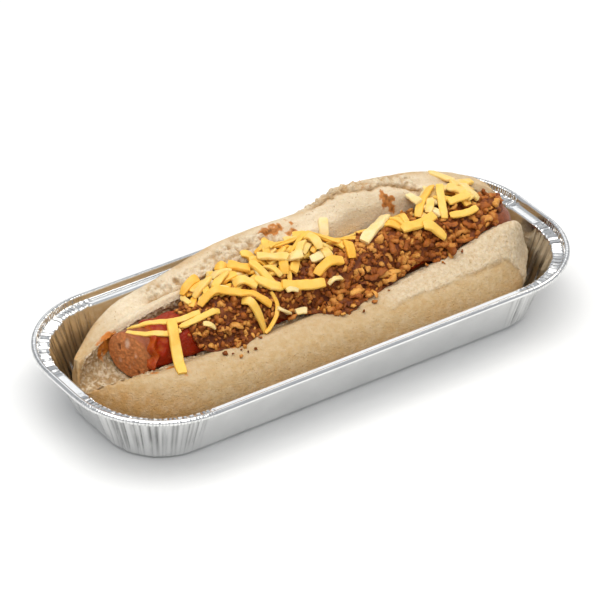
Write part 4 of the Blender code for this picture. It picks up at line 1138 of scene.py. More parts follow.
def make_bread_mesh():
    look = settings("bread_settings")
    grid, u = bread_grid()
    x, y, z = (grid[..., k] for k in range(3))
    on_top = ramp(u, *TOP_BEGINS) * (1 - ramp(u, LIP_SPAN, LIP_SPAN + 0.15))
    torn, groove, below = slashes(grid, on_top)
    left_panel = below * ramp(x, *PANEL_BEGINS) * (1 - ramp(x, *PANEL_ENDS))
    left_lip = (1 - ramp(u, 0.0, 0.12)) * (1 - ramp(x, *LEFT_CRUMB_ENDS))
    in_cut = np.clip(ramp(u, LIP_SPAN, LIP_SPAN + 0.2) + left_lip, 0.0, 1.0)
    low_side = 1 - ramp(u, *LOW_SIDE_ENDS)
    front_reach = -y + 0.0035 * noise_at(grid, 0.011, 4.0) + 0.0010 * noise_at(grid, 0.0030, 14.0)
    floured_side = low_side * ramp(x, *FLOURED_BEGINS)
    rough_front = floured_side * (1 - ramp(front_reach, *ROUGH_ENDS))
    broken = ramp(noise_at(grid, 0.009, 15.0), -0.25, 0.20)
    front_crease = floured_side * hill(front_reach, *FRONT_CREASE) * broken
    normals = grid_normals(grid)
    if np.sum(normals[BREAD_RINGS // 2, 20] * np.array((0, -1, 0.3))) < 0:
        normals = -normals
    stretched = grid * np.array((1.0, 1.6, 1.6))
    strands = ridges_at(stretched, 0.0042, 1.0) * 0.55 + ridges_at(stretched, 0.0020, 2.0) * 0.45
    crumbly = ridges_at(grid, 0.0028, 3.0) * 0.6 + noise_at(grid, 0.0014, 4.0) * 0.5
    clumped = torn + left_panel
    clumps = clumps_at(grid, 0.0034, clumped) + 0.5 * clumps_at(grid, 0.0017, clumped)
    tip = 1 - ramp(x, *TIP_ENDS)
    swell = noise_at(grid, 0.022, 5.0) * 0.00040 + noise_at(grid, 0.007, 6.0) * 0.00016
    skin = noise_at(grid, 0.0034, 7.0) * 0.00013 + noise_at(grid, 0.0015, 12.0) * 0.00007
    push = swell * (1 - in_cut) * (1 - tip) + skin
    push += look.tear * (clumps - 0.45) * torn + 0.4 * look.tear * (strands - 0.5) * torn
    push += 0.5 * look.tear * (clumps - 0.4) * left_panel
    push -= CREASE_DEPTH * groove * np.clip(0.75 + 0.9 * noise_at(grid, 0.006, 13.0), 0.1, 1.3)
    push += look.crumb_relief * (crumbly - 0.5) * in_cut * (1 - tip)
    push += (ROUGH_LIFT + ROUGH_RELIEF * (crumbly - 0.4)) * rough_front - FRONT_CREASE_DEPTH * front_crease
    at_lip = 1 - ramp(u, 0.0, 1.2) + ramp(u, LAST_SPAN - 1, LAST_SPAN)
    jagged = at_lip * (1 - ramp(x, *JAGGED_ENDS)) * (1 - tip)
    push += JAGGED_RELIEF * ridges_at(grid, 0.0036, 8.0) * jagged
    grid = keep_in_tray(grid + normals * push[..., None])
    mesh = tube_mesh("bread", grid)

    front_side = (1 - ramp(z, *SIDE_GOLD_ENDS)) * (1 - ramp(u, *FRONT_GOLD_ENDS))
    back_side = ramp(u, *BACK_GOLD_BEGINS) * (1 - ramp(u, *BACK_GOLD_ENDS))
    side_gold = (front_side + back_side) * (0.85 + 0.5 * noise_at(grid, 0.018, 17.0))
    left_gold = 0.85 * (1 - ramp(x, *LEFT_GOLD_ENDS)) * (1 - ramp(z, *TIP_GOLD_ENDS))
    end_gold = left_gold + 0.35 * ramp(x, *RIGHT_GOLD_BEGINS)
    crest_gold = hill(u, *CREST_GOLD) * ramp(noise_at(grid, 0.012, 16.0), -0.35, 0.30)
    gold = np.clip(0.75 * side_gold + end_gold + 0.65 * crest_gold, 0.0, 1.0) * (1 - in_cut)
    flour = ramp(z, *FLOUR_BEGINS) * (0.75 + 0.25 * noise_at(grid, 0.012, 9.0))
    flour *= 1 - 0.65 * ramp(x, *FLOUR_THINS)
    flour = np.clip(np.maximum(flour, 0.42 * rough_front), 0.0, 1.0) * (1 - 0.7 * crest_gold)
    # Painted shade in the slashes' creases and in the gaps between the clumps of torn dough.
    gaps = 0.75 * (torn + 0.6 * left_panel) * ramp(-clumps, -0.75, 0.0)
    groove_and_gap_shade = np.clip(groove * 0.55 + gaps, 0.0, 1.0)
    values = {
        "gold": gold,
        "flour": flour,
        "crumb": in_cut + 0.35 * left_panel,
        "rough": in_cut + 0.8 * left_panel + 0.7 * torn + 0.50 * rough_front,
        # Painted shade, also along the front's crease and in the crumb's low places.
        "hollow_shade": groove_and_gap_shade + 0.45 * front_crease + in_cut * np.clip(0.35 - crumbly, 0, 1),
        "toast": patches(grid, TOASTED) * (0.7 + 0.5 * noise_at(grid, 0.004, 10.0)),
        "soak": patches(grid, STAINED) * (0.8 + 0.4 * noise_at(grid, 0.004, 11.0)),
    }
    ends = np.zeros(2)
    for name, value in values.items():
        set_attribute(mesh, name, np.concatenate([np.clip(value, 0, 1).reshape(-1), ends]))
    return mesh


# Sausage and sauce

def around_sausage(x, radius, degrees):
    """Points at this distance and angle around the sausage's centre line, 90 degrees being straight up."""
    centre_y, centre_z = sausage_axis(x)
    angle = np.radians(degrees)
    y, z = centre_y + radius * np.cos(angle), centre_z + radius * np.sin(angle)
    return np.stack([x + 0 * angle, y, z], axis=-1)


def sausage_rings():
    """x, radius and how much each ring belongs to the cut face, from the face's middle to the round end."""
    face_rings, rim_rings, rod_rings = 26, 5, 150
    rings = []
    for step in range(1, face_rings + 1):
        share_out = step / face_rings
        x = SAUSAGE_LEFT + CUT_BULGE * share_out ** 2.2
        rings.append((x, (SAUSAGE_RADIUS - CUT_RIM) * share_out, 1.0))
    for step in range(1, rim_rings + 1):
        angle = math.pi / 2 * step / rim_rings
        x = SAUSAGE_LEFT + CUT_BULGE + CUT_RIM * (1 - math.cos(angle))
        rings.append((x, SAUSAGE_RADIUS - CUT_RIM + CUT_RIM * math.sin(angle), 1.0 - step / rim_rings))
    start, end = rings[-1][0], SAUSAGE_RIGHT - 0.0005
    for step in range(1, rod_rings + 1):
        x = start + (end - start) * (1 - (1 - step / rod_rings) ** 1.5)
        rest = (SAUSAGE_RIGHT - x) / SAUSAGE_ROUND_END
        rings.append((x, SAUSAGE_RADIUS * math.sqrt(max(0.0, 1 - max(0.0, 1 - rest) ** 2)), 0.0))
    return rings


def make_sausage_mesh():
    look = settings("sausage_settings")
    sides = 96
    turn = np.linspace(0, 2 * math.pi, sides, endpoint=False)
    rings = sausage_rings()
    grid, outward = [], []
    for x, radius, _ in rings:
        centre_y, centre_z = sausage_axis(x)
        y, z = radius * np.cos(turn), radius * np.sin(turn)
        slant = -y * math.tan(SAUSAGE_CUT_ANGLE) * max(0.0, 1 - (x - SAUSAGE_LEFT) / CUT_REACH)
        grid.append(np.stack([x + slant, centre_y + y, centre_z + z], axis=1))
        outward.append(np.stack([0 * y, y, z], axis=1))
    grid, outward = np.array(grid), np.array(outward)
    cut = np.repeat(np.array(rings)[:, 2:], sides, axis=1)
    mince = noise_at(grid, 0.0022, 1.0) * 0.5 + noise_at(grid, 0.0010, 2.0) * 0.5
    grid[..., 0] -= look.mince_relief * mince * cut
    wrinkle = noise_at(grid * np.array((0.35, 1.0, 1.0)), 0.0035, 3.0) * 0.00018
    outward /= np.maximum(np.linalg.norm(outward, axis=-1, keepdims=True), 1e-6)
    grid += outward * (wrinkle * (1 - cut))[..., None]
    hole = patches(grid, MEAT_HOLES)
    grid[..., 0] += HOLE_DEPTH * hole
    fat = patches(grid, FAT_BITS)
    mesh = tube_mesh("sausage", grid)
    # The holes' mask also marks where the material paints them near black, as shade.
    for name, value in (("cut", cut), ("hollow_shade", hole), ("fat", fat)):
        set_attribute(mesh, name, np.concatenate([value.reshape(-1), [float(value.flat[0]), 0.0]]))
    return mesh


def make_sauce_mesh():
    look = settings("sauce_settings")
    rows, columns = 300, 56
    shares = np.linspace(0, 1, columns)
    stations = np.linspace(SAUCE_LEFT, SAUCE_RIGHT, rows)
    low = np.array([float(smooth_row(SAUCE_LOW_EDGE, x)[0]) for x in stations])
    low += 5.0 * noise_along(stations, 0.007, 0.0, 2.0)
    degrees = SAUCE_HIGH_EDGE + (low - SAUCE_HIGH_EDGE)[:, None] * shares[None, :]
    from_left = (stations - SAUCE_LEFT)[:, None]
    shift = SAUCE_SLANT * ramp(shares, 0.2, 0.9) + 0.0026 * noise_along(7 * shares, 1.0, 0.0, 5.0)
    x = stations[:, None] - shift[None, :] * (1 - ramp(from_left, 0.0, 0.020))
    flat = around_sausage(x, SAUSAGE_RADIUS, degrees)
    from_ends = np.minimum(stations - SAUCE_LEFT, SAUCE_RIGHT - stations)[:, None]
    border = np.minimum(np.minimum(shares, 1 - shares)[None, :] * 0.024, from_ends)
    edge = np.sqrt(1 - (1 - np.clip(border / SAUCE_EDGE_ROUNDING, 0, 1)) ** 2)
    stretched = flat * np.array((1, 1.5, 1.5))
    lumps = 1 + 0.9 * noise_at(stretched, 0.0065, 1.0) + 0.5 * noise_at(flat, 0.0028, 2.0)
    ridge = hill(from_left, 0.0016, 0.0022) * ramp(shares, 0.40, 0.60)[None, :]
    thickness = np.maximum(look.thickness * (lumps + 1.9 * ridge), SAUCE_LEAST) * edge + 0.00005
    outer = around_sausage(x, SAUSAGE_RADIUS + SAUCE_GAP + thickness, degrees)
    inner = around_sausage(x, SAUSAGE_RADIUS + SAUCE_GAP, degrees)
    mesh = tube_mesh("sauce", np.concatenate([outer, inner[:, ::-1]], axis=1))
    thin = np.clip(1 - ramp(thickness, *SAUCE_COVERS) + 0.8 * ridge, 0.0, 1.0)
    values = np.concatenate([thin, thin[:, ::-1]], axis=1).reshape(-1)
    set_attribute(mesh, "thin", np.concatenate([values, [1.0, 1.0]]))
    return mesh


# Fried onion

def surface_tree(mesh):
    return BVHTree.FromPolygons([v.co for v in mesh.vertices], [f.vertices for f in mesh.polygons])


def drop_on(tree, x, y):
    """Highest point of the surface at (x, y), or None beside it."""
    return tree.ray_cast(Vector((x, y, ABOVE_ALL)), Vector((0, 0, -1)))[0]


class HeightField:
    """Height of the topmost surface over a fine grid, raised as shreds are laid."""

    step = 0.0005
    low_x, low_y = -0.128, -0.044
    cells_x, cells_y = 513, 177

    def __init__(self, names):
        trees = [surface_tree(bpy.data.objects[name].data) for name in names]
        self.heights = np.zeros((self.cells_x, self.cells_y))
        for i in range(self.cells_x):
            for j in range(self.cells_y):
                x, y = self.low_x + i * self.step, self.low_y + j * self.step
                hits = [drop_on(tree, x, y) for tree in trees]
                self.heights[i, j] = max((hit.z for hit in hits if hit is not None), default=0.0)

    def cell(self, x, y):
        i, j = (
            np.clip(np.rint((np.asarray(at) - low) / self.step).astype(int), 0, cells - 1)
            for at, low, cells in ((x, self.low_x, self.cells_x), (y, self.low_y, self.cells_y))
        )
        return i, j

    def at(self, x, y):
        return self.heights[self.cell(x, y)]

    def close_gaps(self, cells):
        """Fills narrow gaps: each height becomes the mean of the highest ones around it."""
        high = self.heights.copy()
        for k in range(1, cells + 1):
            for axis in (0, 1):
                for way in (-k, k):
                    high = np.maximum(high, np.roll(self.heights, way, axis))
        shifts = range(-cells, cells + 1)
        total = sum(np.roll(high, (i, j), (0, 1)) for i in shifts for j in shifts)
        self.heights = np.maximum(self.heights, total / len(shifts) ** 2 - GAP_SINK)

    def cover(self, x, y, top):
        np.maximum.at(self.heights, self.cell(x, y), top)


def onion_core_mesh(field):
    """Mound that the flakes stand on, with each kind's density as an attribute of its upper side."""
    rows, columns = 160, 40
    shares = np.linspace(0, 1, columns)[None, :]
    stations = np.linspace(ONION_HEAP[0][0], ONION_HEAP[-1][0], rows)
    low, high, height = (
        MM * np.interp(stations, *np.array(ONION_HEAP)[:, (0, k)].T)[:, None] for k in (1, 2, 3)
    )
    x = np.repeat(stations[:, None] * MM, columns, axis=1)
    low = low + 0.0010 * noise_along(stations, 4.0, 0.0, 9.0)[:, None]
    y = high + (low - high) * shares
    ground = field.at(x, y)
    flat = np.stack([x, y, ground], axis=-1)
    lumps = 1 + 0.75 * noise_at(flat, 0.0060, 1.0) + 0.35 * noise_at(flat, 0.0026, 2.0)
    thickness = height * (0.15 + 0.58 * np.sin(math.pi * shares**0.85) ** 0.8) * np.maximum(lumps, 0.12)
    thickness[[0, -1]] *= 0.3
    top = np.stack([x, y, ground + thickness], axis=-1)
    under = np.stack([x, y, ground - MOUND_SINK], axis=-1)
    mesh = tube_mesh("onion core", np.concatenate([top, under[:, ::-1]], axis=1))
    right_half = ramp(x, *STRIPS_BEGIN)
    for name, share_left, share_right in (("crumbs", 1.0, 0.60), ("strips", 0.40, 1.0)):
        density = share_left + (share_right - share_left) * right_half
        both = np.concatenate([density, np.zeros_like(density)], axis=1).reshape(-1)
        set_attribute(mesh, name, np.concatenate([both, [0.0, 0.0]]))
    # The mound is toned dark: painted shade in the gaps between the flakes.
    set_tone(mesh, MOUND_SHADE_TONE)
    return mesh


def strip_flake(chance, long=None):
    """A curled, knobbly strip of fried onion, this long or of a random length."""
    reach = (long or chance.uniform(3.5, 7.5)) * MM
    width, thick = chance.uniform(2.0, 3.6) * MM, chance.uniform(1.3, 2.3) * MM
    curl = chance.choice((-1, 1)) * chance.uniform(0.6, 2.8)
    twist, shift = chance.uniform(-1.5, 1.5), chance.uniform(0, 50)
    rings = []
    count, sides = 9, 6
    for i in range(count):
        t = i / (count - 1) - 0.5
        angle = curl * t
        spine = Vector((math.sin(angle), 0, 1 - math.cos(angle))) * (reach / curl)
        spine.z += 0.7 * MM + 0.8 * MM * noise.noise((t * 3.0, 0.0, shift))
        lean = Matrix.Rotation(-angle, 3, "Y") @ Matrix.Rotation(twist * t, 3, "X")
        swell = (1 - 0.75 * abs(2 * t) ** 5) * (1 + 0.7 * noise.noise((t * 4.5, shift, 0.0)))
        ring = []
        for k in range(sides):
            around = math.tau * k / sides
            knob = 1 + 0.55 * noise.noise((t * 5.0, 1.3 * math.cos(around), 1.3 * math.sin(around) + shift))
            side = Vector((0, width / 2 * math.cos(around), thick / 2 * math.sin(around))) * swell * knob
            ring.append(spine + lean @ side)
        rings.append(ring)
    return tube_mesh("strip", np.array(rings))


def crumb_flake(chance):
    """A small knobbly crumb."""
    body = bmesh.new()
    bmesh.ops.create_cube(body, size=1.0)
    bmesh.ops.subdivide_edges(body, edges=body.edges, cuts=1, use_grid_fill=True)
    size = [chance.uniform(1.4, 3.4) * MM for _ in range(3)]
    shift = chance.uniform(0, 50)
    for vertex in body.verts:
        way = vertex.co.normalized()
        bulge = 0.5 * (1 + 1.1 * noise.noise(way * 1.9 + Vector((shift, 0, 0))))
        vertex.co = Vector(way[k] * size[k] * bulge for k in range(3)) + Vector((0, 0, 0.4 * MM))
    bmesh.ops.recalc_face_normals(body, faces=body.faces)
    mesh = bpy.data.meshes.new("crumb")
    body.to_mesh(mesh)
    body.free()
    return mesh


def start_tree(name, inputs):
    """New tree of geometry nodes: its board, its inputs' sockets, and the inputs' identifiers by name."""
    tree = bpy.data.node_groups.new(name, "GeometryNodeTree")
    tree_input(tree, "Geometry", "NodeSocketGeometry")
    names = {title: tree_input(tree, title, "NodeSocket" + kind, value) for title, kind, value in inputs}
    names["Material"] = tree_input(tree, "Material", "NodeSocketMaterial")
    tree.interface.new_socket("Geometry", in_out="OUTPUT", socket_type="NodeSocketGeometry")
    board = NodeBoard(tree)
    return board, board.add("NodeGroupInput").outputs, names


def end_tree(board, shape, material):
    """Makes every instance real and gives the result its material."""
    real = board.add("GeometryNodeRealizeInstances", {0: shape}).outputs[0]
    done = board.add("GeometryNodeSetMaterial", {"Geometry": real, "Material": material}).outputs[0]
    board.add("NodeGroupOutput", {0: done})


def named_attribute(board, name, kind="FLOAT"):
    return board.add("GeometryNodeInputNamedAttribute", {"Name": name}, data_type=kind).outputs["Attribute"]


def random_number(board, low, high, seed, beyond):
    """Random number between two values, drawn with a seed this far beyond the tree's own."""
    node = board.add("FunctionNodeRandomValue", data_type="FLOAT")
    board.put(node.inputs[2], low)
    board.put(node.inputs[3], high)
    board.put(node.inputs["Seed"], board.add("FunctionNodeIntegerMath", {0: seed, 1: beyond}).outputs[0])
    return node.outputs[1]


def flake_tree():
    """Geometry nodes that strew flakes over a mound, each turned, sized and toned at random."""
    board, given, names = start_tree("strew flakes", (
        ("Flakes", "Collection", None), ("Spacing", "Float", 0.0011), ("Density Name", "String", "crumbs"),
        ("Density", "Float", 400000.0), ("Least Size", "Float", 0.6), ("Most Size", "Float", 1.2),
        ("Seed", "Int", 1),
    ))
    spots = board.add("GeometryNodeDistributePointsOnFaces", {
        "Mesh": given["Geometry"], "Distance Min": given["Spacing"], "Density Max": given["Density"],
        "Density Factor": named_attribute(board, given["Density Name"]), "Seed": given["Seed"],
    }, distribute_method="POISSON").outputs
    spin = board.add("FunctionNodeRandomValue", {
        "Min": (-MOST_TILT, -MOST_TILT, -math.pi), "Max": (MOST_TILT, MOST_TILT, math.pi),
        "Seed": given["Seed"],
    }, data_type="FLOAT_VECTOR").outputs[0]
    as_turn = board.add("FunctionNodeEulerToRotation", {0: spin}).outputs[0]
    turned = board.add("FunctionNodeRotateRotation", {
        "Rotation": spots["Rotation"], "Rotate By": as_turn,
    }, rotation_space="LOCAL").outputs[0]
    flakes = board.add("GeometryNodeCollectionInfo", {
        "Collection": given["Flakes"], "Separate Children": True, "Reset Children": True,
    }).outputs[0]
    placed = board.add("GeometryNodeInstanceOnPoints", {
        "Points": spots["Points"], "Instance": flakes, "Pick Instance": True, "Rotation": turned,
        "Scale": random_number(board, given["Least Size"], given["Most Size"], given["Seed"], 5),
    }).outputs[0]
    toned = board.add("GeometryNodeStoreNamedAttribute", {
        "Geometry": placed, "Name": "tone", "Value": random_number(board, *FLAKE_TONES, given["Seed"], 9),
    }, data_type="FLOAT", domain="INSTANCE").outputs[0]
    end_tree(board, toned, given["Material"])
    return board.tree, names


def plain_result(piece):
    """The evaluated mesh of an object, which is then removed."""
    graph = bpy.context.evaluated_depsgraph_get()
    mesh = bpy.data.meshes.new_from_object(piece.evaluated_get(graph), depsgraph=graph)
    bpy.data.objects.remove(piece, do_unlink=True)
    return mesh


def run_nodes(name, mesh, tree, names, inputs):
    """Plain mesh that a tree of geometry nodes makes of this mesh, with these inputs by name."""
    carrier = bpy.data.objects.new(name, mesh)
    bpy.context.scene.collection.objects.link(carrier)
    modifier = carrier.modifiers.new("nodes", "NODES")
    modifier.node_group = tree
    for title, value in inputs.items():
        modifier[names[title]] = value
    return plain_result(carrier)


def flake_collection(name, maker, chance):
    """Flakes of one kind, from which the geometry nodes pick."""
    group = bpy.data.collections.new(name)
    for number in range(FLAKE_SHAPES):
        group.objects.link(bpy.data.objects.new(f"{name}_{number:02d}", maker(chance)))
    return group


def empty_collection(group):
    for piece in list(group.objects):
        bpy.data.objects.remove(piece, do_unlink=True)
    bpy.data.collections.remove(group)


def joined_mesh(name, meshes):
    body = bmesh.new()
    for mesh in meshes:
        body.from_mesh(mesh)
    result = bpy.data.meshes.new(name)
    body.to_mesh(result)
    body.free()
    return result


def loose_crumbs(chance, field):
    """Crumbs that lie on the roll beside the heap."""
    meshes = []
    for x, y in LOOSE_CRUMBS:
        mesh = crumb_flake(chance) if chance.random() < 0.6 else strip_flake(chance)
        spin, tilt = chance.uniform(0, math.tau), chance.uniform(-0.5, 0.5)
        turn = Matrix.Rotation(spin, 4, "Z") @ Matrix.Rotation(tilt, 4, "X")
        place = Matrix.Translation((x * MM, y * MM, float(field.at(x * MM, y * MM)) + CRUMB_LIFT))
        mesh.transform(place @ turn @ Matrix.Scale(chance.uniform(0.35, 0.75), 4))
        set_tone(mesh, chance.uniform(0.2, 0.8))
        meshes.append(mesh)
    return meshes


def large_flakes(chance, heap, field):
    """The large curled strips that lie on top of the heap, or on the roll beside it."""
    surface = surface_tree(heap)
    meshes = []
    for x, y, turn, long, tone in LARGE_FLAKES:
        mesh = strip_flake(chance, long)
        tilt = chance.uniform(0.2, 0.7)
        top = drop_on(surface, x * MM, y * MM)
        height = top.z if top else float(field.at(x * MM, y * MM))
        lean = Matrix.Rotation(math.radians(turn), 4, "Z") @ Matrix.Rotation(tilt, 4, "X")
        mesh.transform(Matrix.Translation((x * MM, y * MM, height + FLAKE_LIFT)) @ lean)
        set_tone(mesh, tone)
        meshes.append(mesh)
    return meshes


def make_onion_mesh(material, field):
    look = settings("onion_settings")
    chance = random.Random(ONION_SEED)
    tree, names = flake_tree()
    core = onion_core_mesh(field)
    heaps = [core]
    for kind, maker, spacing, (seed, density, least, most) in (
        ("crumbs", crumb_flake, look.crumb_spacing, CRUMB_FLAKES),
        ("strips", strip_flake, look.strip_spacing, STRIP_FLAKES),
    ):
        flakes = flake_collection(kind, maker, chance)
        heaps.append(run_nodes("onion carrier", core, tree, names, {
            "Flakes": flakes, "Spacing": spacing, "Density Name": kind, "Seed": seed, "Density": density,
            "Least Size": least, "Most Size": most, "Material": material,
        }))
        empty_collection(flakes)
    heaps += large_flakes(chance, core, field)
    heaps += loose_crumbs(chance, field)
    return joined_mesh("fried onion", heaps)


# Cheese

def plan_line(row, step):
    """Points at even steps on the curve through the shred's three plan points."""
    start, middle, end = (np.array(row[k:k + 2]) * MM for k in (0, 2, 4))
    t = np.linspace(0, 1, 60)[:, None]
    line = 2 * (t - 0.5) * (t - 1) * start - 4 * t * (t - 1) * middle + 2 * t * (t - 0.5) * end
    runs = np.concatenate([[0], np.cumsum(np.linalg.norm(np.diff(line, axis=0), axis=1))])
    wanted = np.linspace(0, runs[-1], max(4, round(runs[-1] / step)))
    return np.stack([np.interp(wanted, runs, line[:, k]) for k in (0, 1)], axis=1)


def smoothed(values, times):
    for _ in range(times):
        between = (values[:-2] + 2 * values[1:-1] + values[2:]) / 4
        values = np.concatenate([values[:1], between, values[-1:]])
    return values


def lay_shred(field, row, bend_radius):
    """Lays one strip on the field: its centre points, its surface normals, its width and its tone."""
    width = row[6] * MM
    thickness = width / CHEESE_ASPECT
    line = plan_line(row, SHRED_STEP)
    along = np.gradient(line, axis=0)
    along /= np.linalg.norm(along, axis=1, keepdims=True)
    across = np.stack([-along[:, 1], along[:, 0]], axis=1)
    offsets = np.linspace(-0.5, 0.5, 7) * width * 0.92
    spots = line[:, None, :] + across[:, None, :] * offsets[None, :, None]
    heights = field.at(spots[..., 0], spots[..., 1])
    slope = (heights[:, 4:].mean(1) - heights[:, :3].mean(1)) / (width * 0.53)
    slope = smoothed(np.clip(slope, -STEEPEST_SLOPE, STEEPEST_SLOPE), 10)
    base = (heights - slope[:, None] * offsets[None, :]).max(axis=1) - SHRED_SINK
    droop = SHRED_STEP**2 / (2 * bend_radius)
    for _ in range(160):
        base[1:-1] = np.maximum(base[1:-1], (base[:-2] + base[2:]) / 2 - droop)
    base = smoothed(base, 3)
    centre = np.concatenate([line, (base + thickness / 2)[:, None]], axis=1)
    normals = np.cross(np.gradient(centre, axis=0), np.concatenate([across, slope[:, None]], axis=1))
    normals /= np.linalg.norm(normals, axis=1, keepdims=True)
    fine = np.linspace(-0.5, 0.5, 15) * width
    spots = line[:, None, :] + across[:, None, :] * fine[None, :, None]
    field.cover(spots[..., 0], spots[..., 1], base[:, None] + thickness + slope[:, None] * fine[None, :])
    return centre, normals, width, row[7]


def shred_tree():
    """Geometry nodes that sweep a rounded strip along each line, as wide as its attribute says."""
    board, given, names = start_tree("shreds along lines", (
        ("Flatness", "Float", 1 / CHEESE_ASPECT), ("Rounding", "Float", 0.15),
        ("Unevenness", "Float", 0.0002), ("Seed", "Float", 0.0),
    ))
    curves = board.add("GeometryNodeMeshToCurve", {"Mesh": given["Geometry"]}).outputs[0]
    turned = board.add("GeometryNodeSetCurveNormal", {
        "Curve": curves, "Normal": named_attribute(board, "lay", "FLOAT_VECTOR"),
    }, mode="FREE").outputs[0]
    outline = board.add("GeometryNodeCurvePrimitiveQuadrilateral", {
        "Width": given["Flatness"], "Height": 1.0,
    }).outputs[0]
    rounded = board.add("GeometryNodeFilletCurve", {
        "Curve": outline, "Count": 3, "Radius": given["Rounding"],
    }, mode="POLY").outputs[0]
    width = named_attribute(board, "width")
    strips = board.add("GeometryNodeCurveToMesh", {
        "Curve": turned, "Profile Curve": rounded, "Scale": width, "Fill Caps": True,
    }).outputs[0]
    wobble = board.add("ShaderNodeTexNoise", {
        "Vector": board.add("GeometryNodeInputPosition").outputs[0], "W": given["Seed"], "Scale": 330.0,
        "Detail": 1.0,
    }, noise_dimensions="4D").outputs["Color"]
    centred = board.add("ShaderNodeVectorMath", {
        0: wobble, 1: (0.5, 0.5, 0.5),
    }, operation="SUBTRACT").outputs[0]
    shift = board.add("ShaderNodeVectorMath", {
        0: centred, "Scale": board.times(given["Unevenness"], 4.0),
    }, operation="SCALE").outputs[0]
    moved = board.add("GeometryNodeSetPosition", {"Geometry": strips, "Offset": shift}).outputs[0]
    end_tree(board, moved, given["Material"])
    return board.tree, names


def shreds_mesh(name, laid, material):
    points, edges, lays, widths, tones = [], [], [], [], []
    for centre, normals, width, tone in laid:
        first, count = len(points), len(centre)
        points += centre.tolist()
        edges += [(first + i, first + i + 1) for i in range(count - 1)]
        lays.append(normals)
        widths.append(width * (1 - 0.22 * np.abs(np.linspace(-1, 1, count)) ** 9))
        tones.append(np.full(count, tone))
    mesh = bpy.data.meshes.new(name)
    mesh.from_pydata(points, edges, [])
    set_attribute(mesh, "lay", np.concatenate(lays), "FLOAT_VECTOR")
    set_attribute(mesh, "width", np.concatenate(widths))
    set_attribute(mesh, "tone", np.concatenate(tones))
    unevenness = settings("cheese_settings").unevenness
    inputs = {"Unevenness": unevenness, "Seed": 2.0, "Material": material}
    result = run_nodes(name + " carrier", mesh, *shred_tree(), inputs)
    face_outwards(result)
    return result


def scattered_shreds(chance):
    """Smaller shreds under the ones that lie on top of the heap."""
    rows = []
    for count, left, right, low, high in SCATTERED:
        for _ in range(count):
            x, y = chance.uniform(left, right), chance.uniform(low, high)
            turn = math.radians(chance.gauss(0, 50))
            half = chance.uniform(3.0, 6.5)
            bow = chance.uniform(-1.6, 1.6)
            dx, dy = half * math.cos(turn), half * math.sin(turn)
            rows.append((
                x - dx, y - dy, x - bow * math.sin(turn), y + bow * math.cos(turn), x + dx, y + dy,
                chance.uniform(2.2, 4.6), chance.uniform(0.10, 1.0),
            ))
    return rows


# Operators

class BuildTray(bpy.types.Operator):
    """Build the pressed foil tray with its folded corners and rolled bead"""

    bl_idname = "traymeal.build_tray"
    bl_label = "Foil tray"

    def execute(self, context):
        mesh = make_tray_mesh()
        tray = add_piece("foil_sheet", mesh, foil_material(), ["foil_tray"], sharp_angle=20)
        wall = tray.modifiers.new("foil thickness", "SOLIDIFY")
        wall.thickness = settings("tray_settings").foil
        wall.offset = 0.0
        return {"FINISHED"}


class BuildBread(bpy.types.Operator):
    """Build the split roll with its floured crust, torn slashes and crumb"""

    bl_idname = "traymeal.build_bread"
    bl_label = "Bread roll"

    def execute(self, context):
        add_piece("baked_roll", make_bread_mesh(), bread_material(), ["bread_roll"])
        return {"FINISHED"}


class BuildSausage(bpy.types.Operator):
    """Build the sausage with its cut face"""

    bl_idname = "traymeal.build_sausage"
    bl_label = "Sausage"

    def execute(self, context):
        add_piece("grilled_sausage", make_sausage_mesh(), sausage_material(), ["sausage"])
        return {"FINISHED"}


class BuildSauce(bpy.types.Operator):
    """Pour the red sauce over the sausage"""

    bl_idname = "traymeal.build_sauce"
    bl_label = "Red sauce"

    def execute(self, context):
        add_piece("poured_sauce", make_sauce_mesh(), sauce_material(), ["sauce"])
        return {"FINISHED"}


class BuildOnions(bpy.types.Operator):
    """Heap the fried onion flakes along the low side"""

    bl_idname = "traymeal.build_onions"
    bl_label = "Fried onion"

    def execute(self, context):
        material = onion_material()
        field = HeightField(("baked_roll", "grilled_sausage", "poured_sauce"))
        field.close_gaps(GAP_CELLS)
        mesh = make_onion_mesh(material, field)
        add_piece("onion_flakes", mesh, material, ["fried_onions"], sharp_angle=85)
        return {"FINISHED"}


class BuildCheese(bpy.types.Operator):
    """Lay the cheese shreds over the filling, one by one"""

    bl_idname = "traymeal.build_cheese"
    bl_label = "Cheese shreds"

    def execute(self, context):
        field = HeightField(("baked_roll", "grilled_sausage", "poured_sauce", "onion_flakes"))
        material = cheese_material()
        chance = random.Random(CHEESE_SEED)
        laid = [lay_shred(field, row, STIFF_RADIUS) for row in [*scattered_shreds(chance), *SHREDS]]
        heap = shreds_mesh("cheese heap", laid, material)
        add_piece("cheese_heap", heap, material, ["shredded_cheese"], sharp_angle=50)
        for name, (node, slot, row) in LOOSE_SHREDS.items():
            mesh = shreds_mesh(name, [lay_shred(field, row, SOFT_RADIUS)], material)
            add_piece(name, mesh, material, [node], sharp_angle=50)
        return {"FINISHED"}


def softbox(name, place, aim, size, power, tint):
    light = bpy.data.lights.new(name, "AREA")
    light.shape = "RECTANGLE"
    light.size, light.size_y = size
    light.energy = power
    light.color = tint
    lamp = bpy.data.objects.new(name, light)
    lamp.location = place
    lamp.rotation_euler = (Vector(aim) - Vector(place)).to_track_quat("-Z", "Y").to_euler()
    bpy.context.scene.collection.objects.link(lamp)


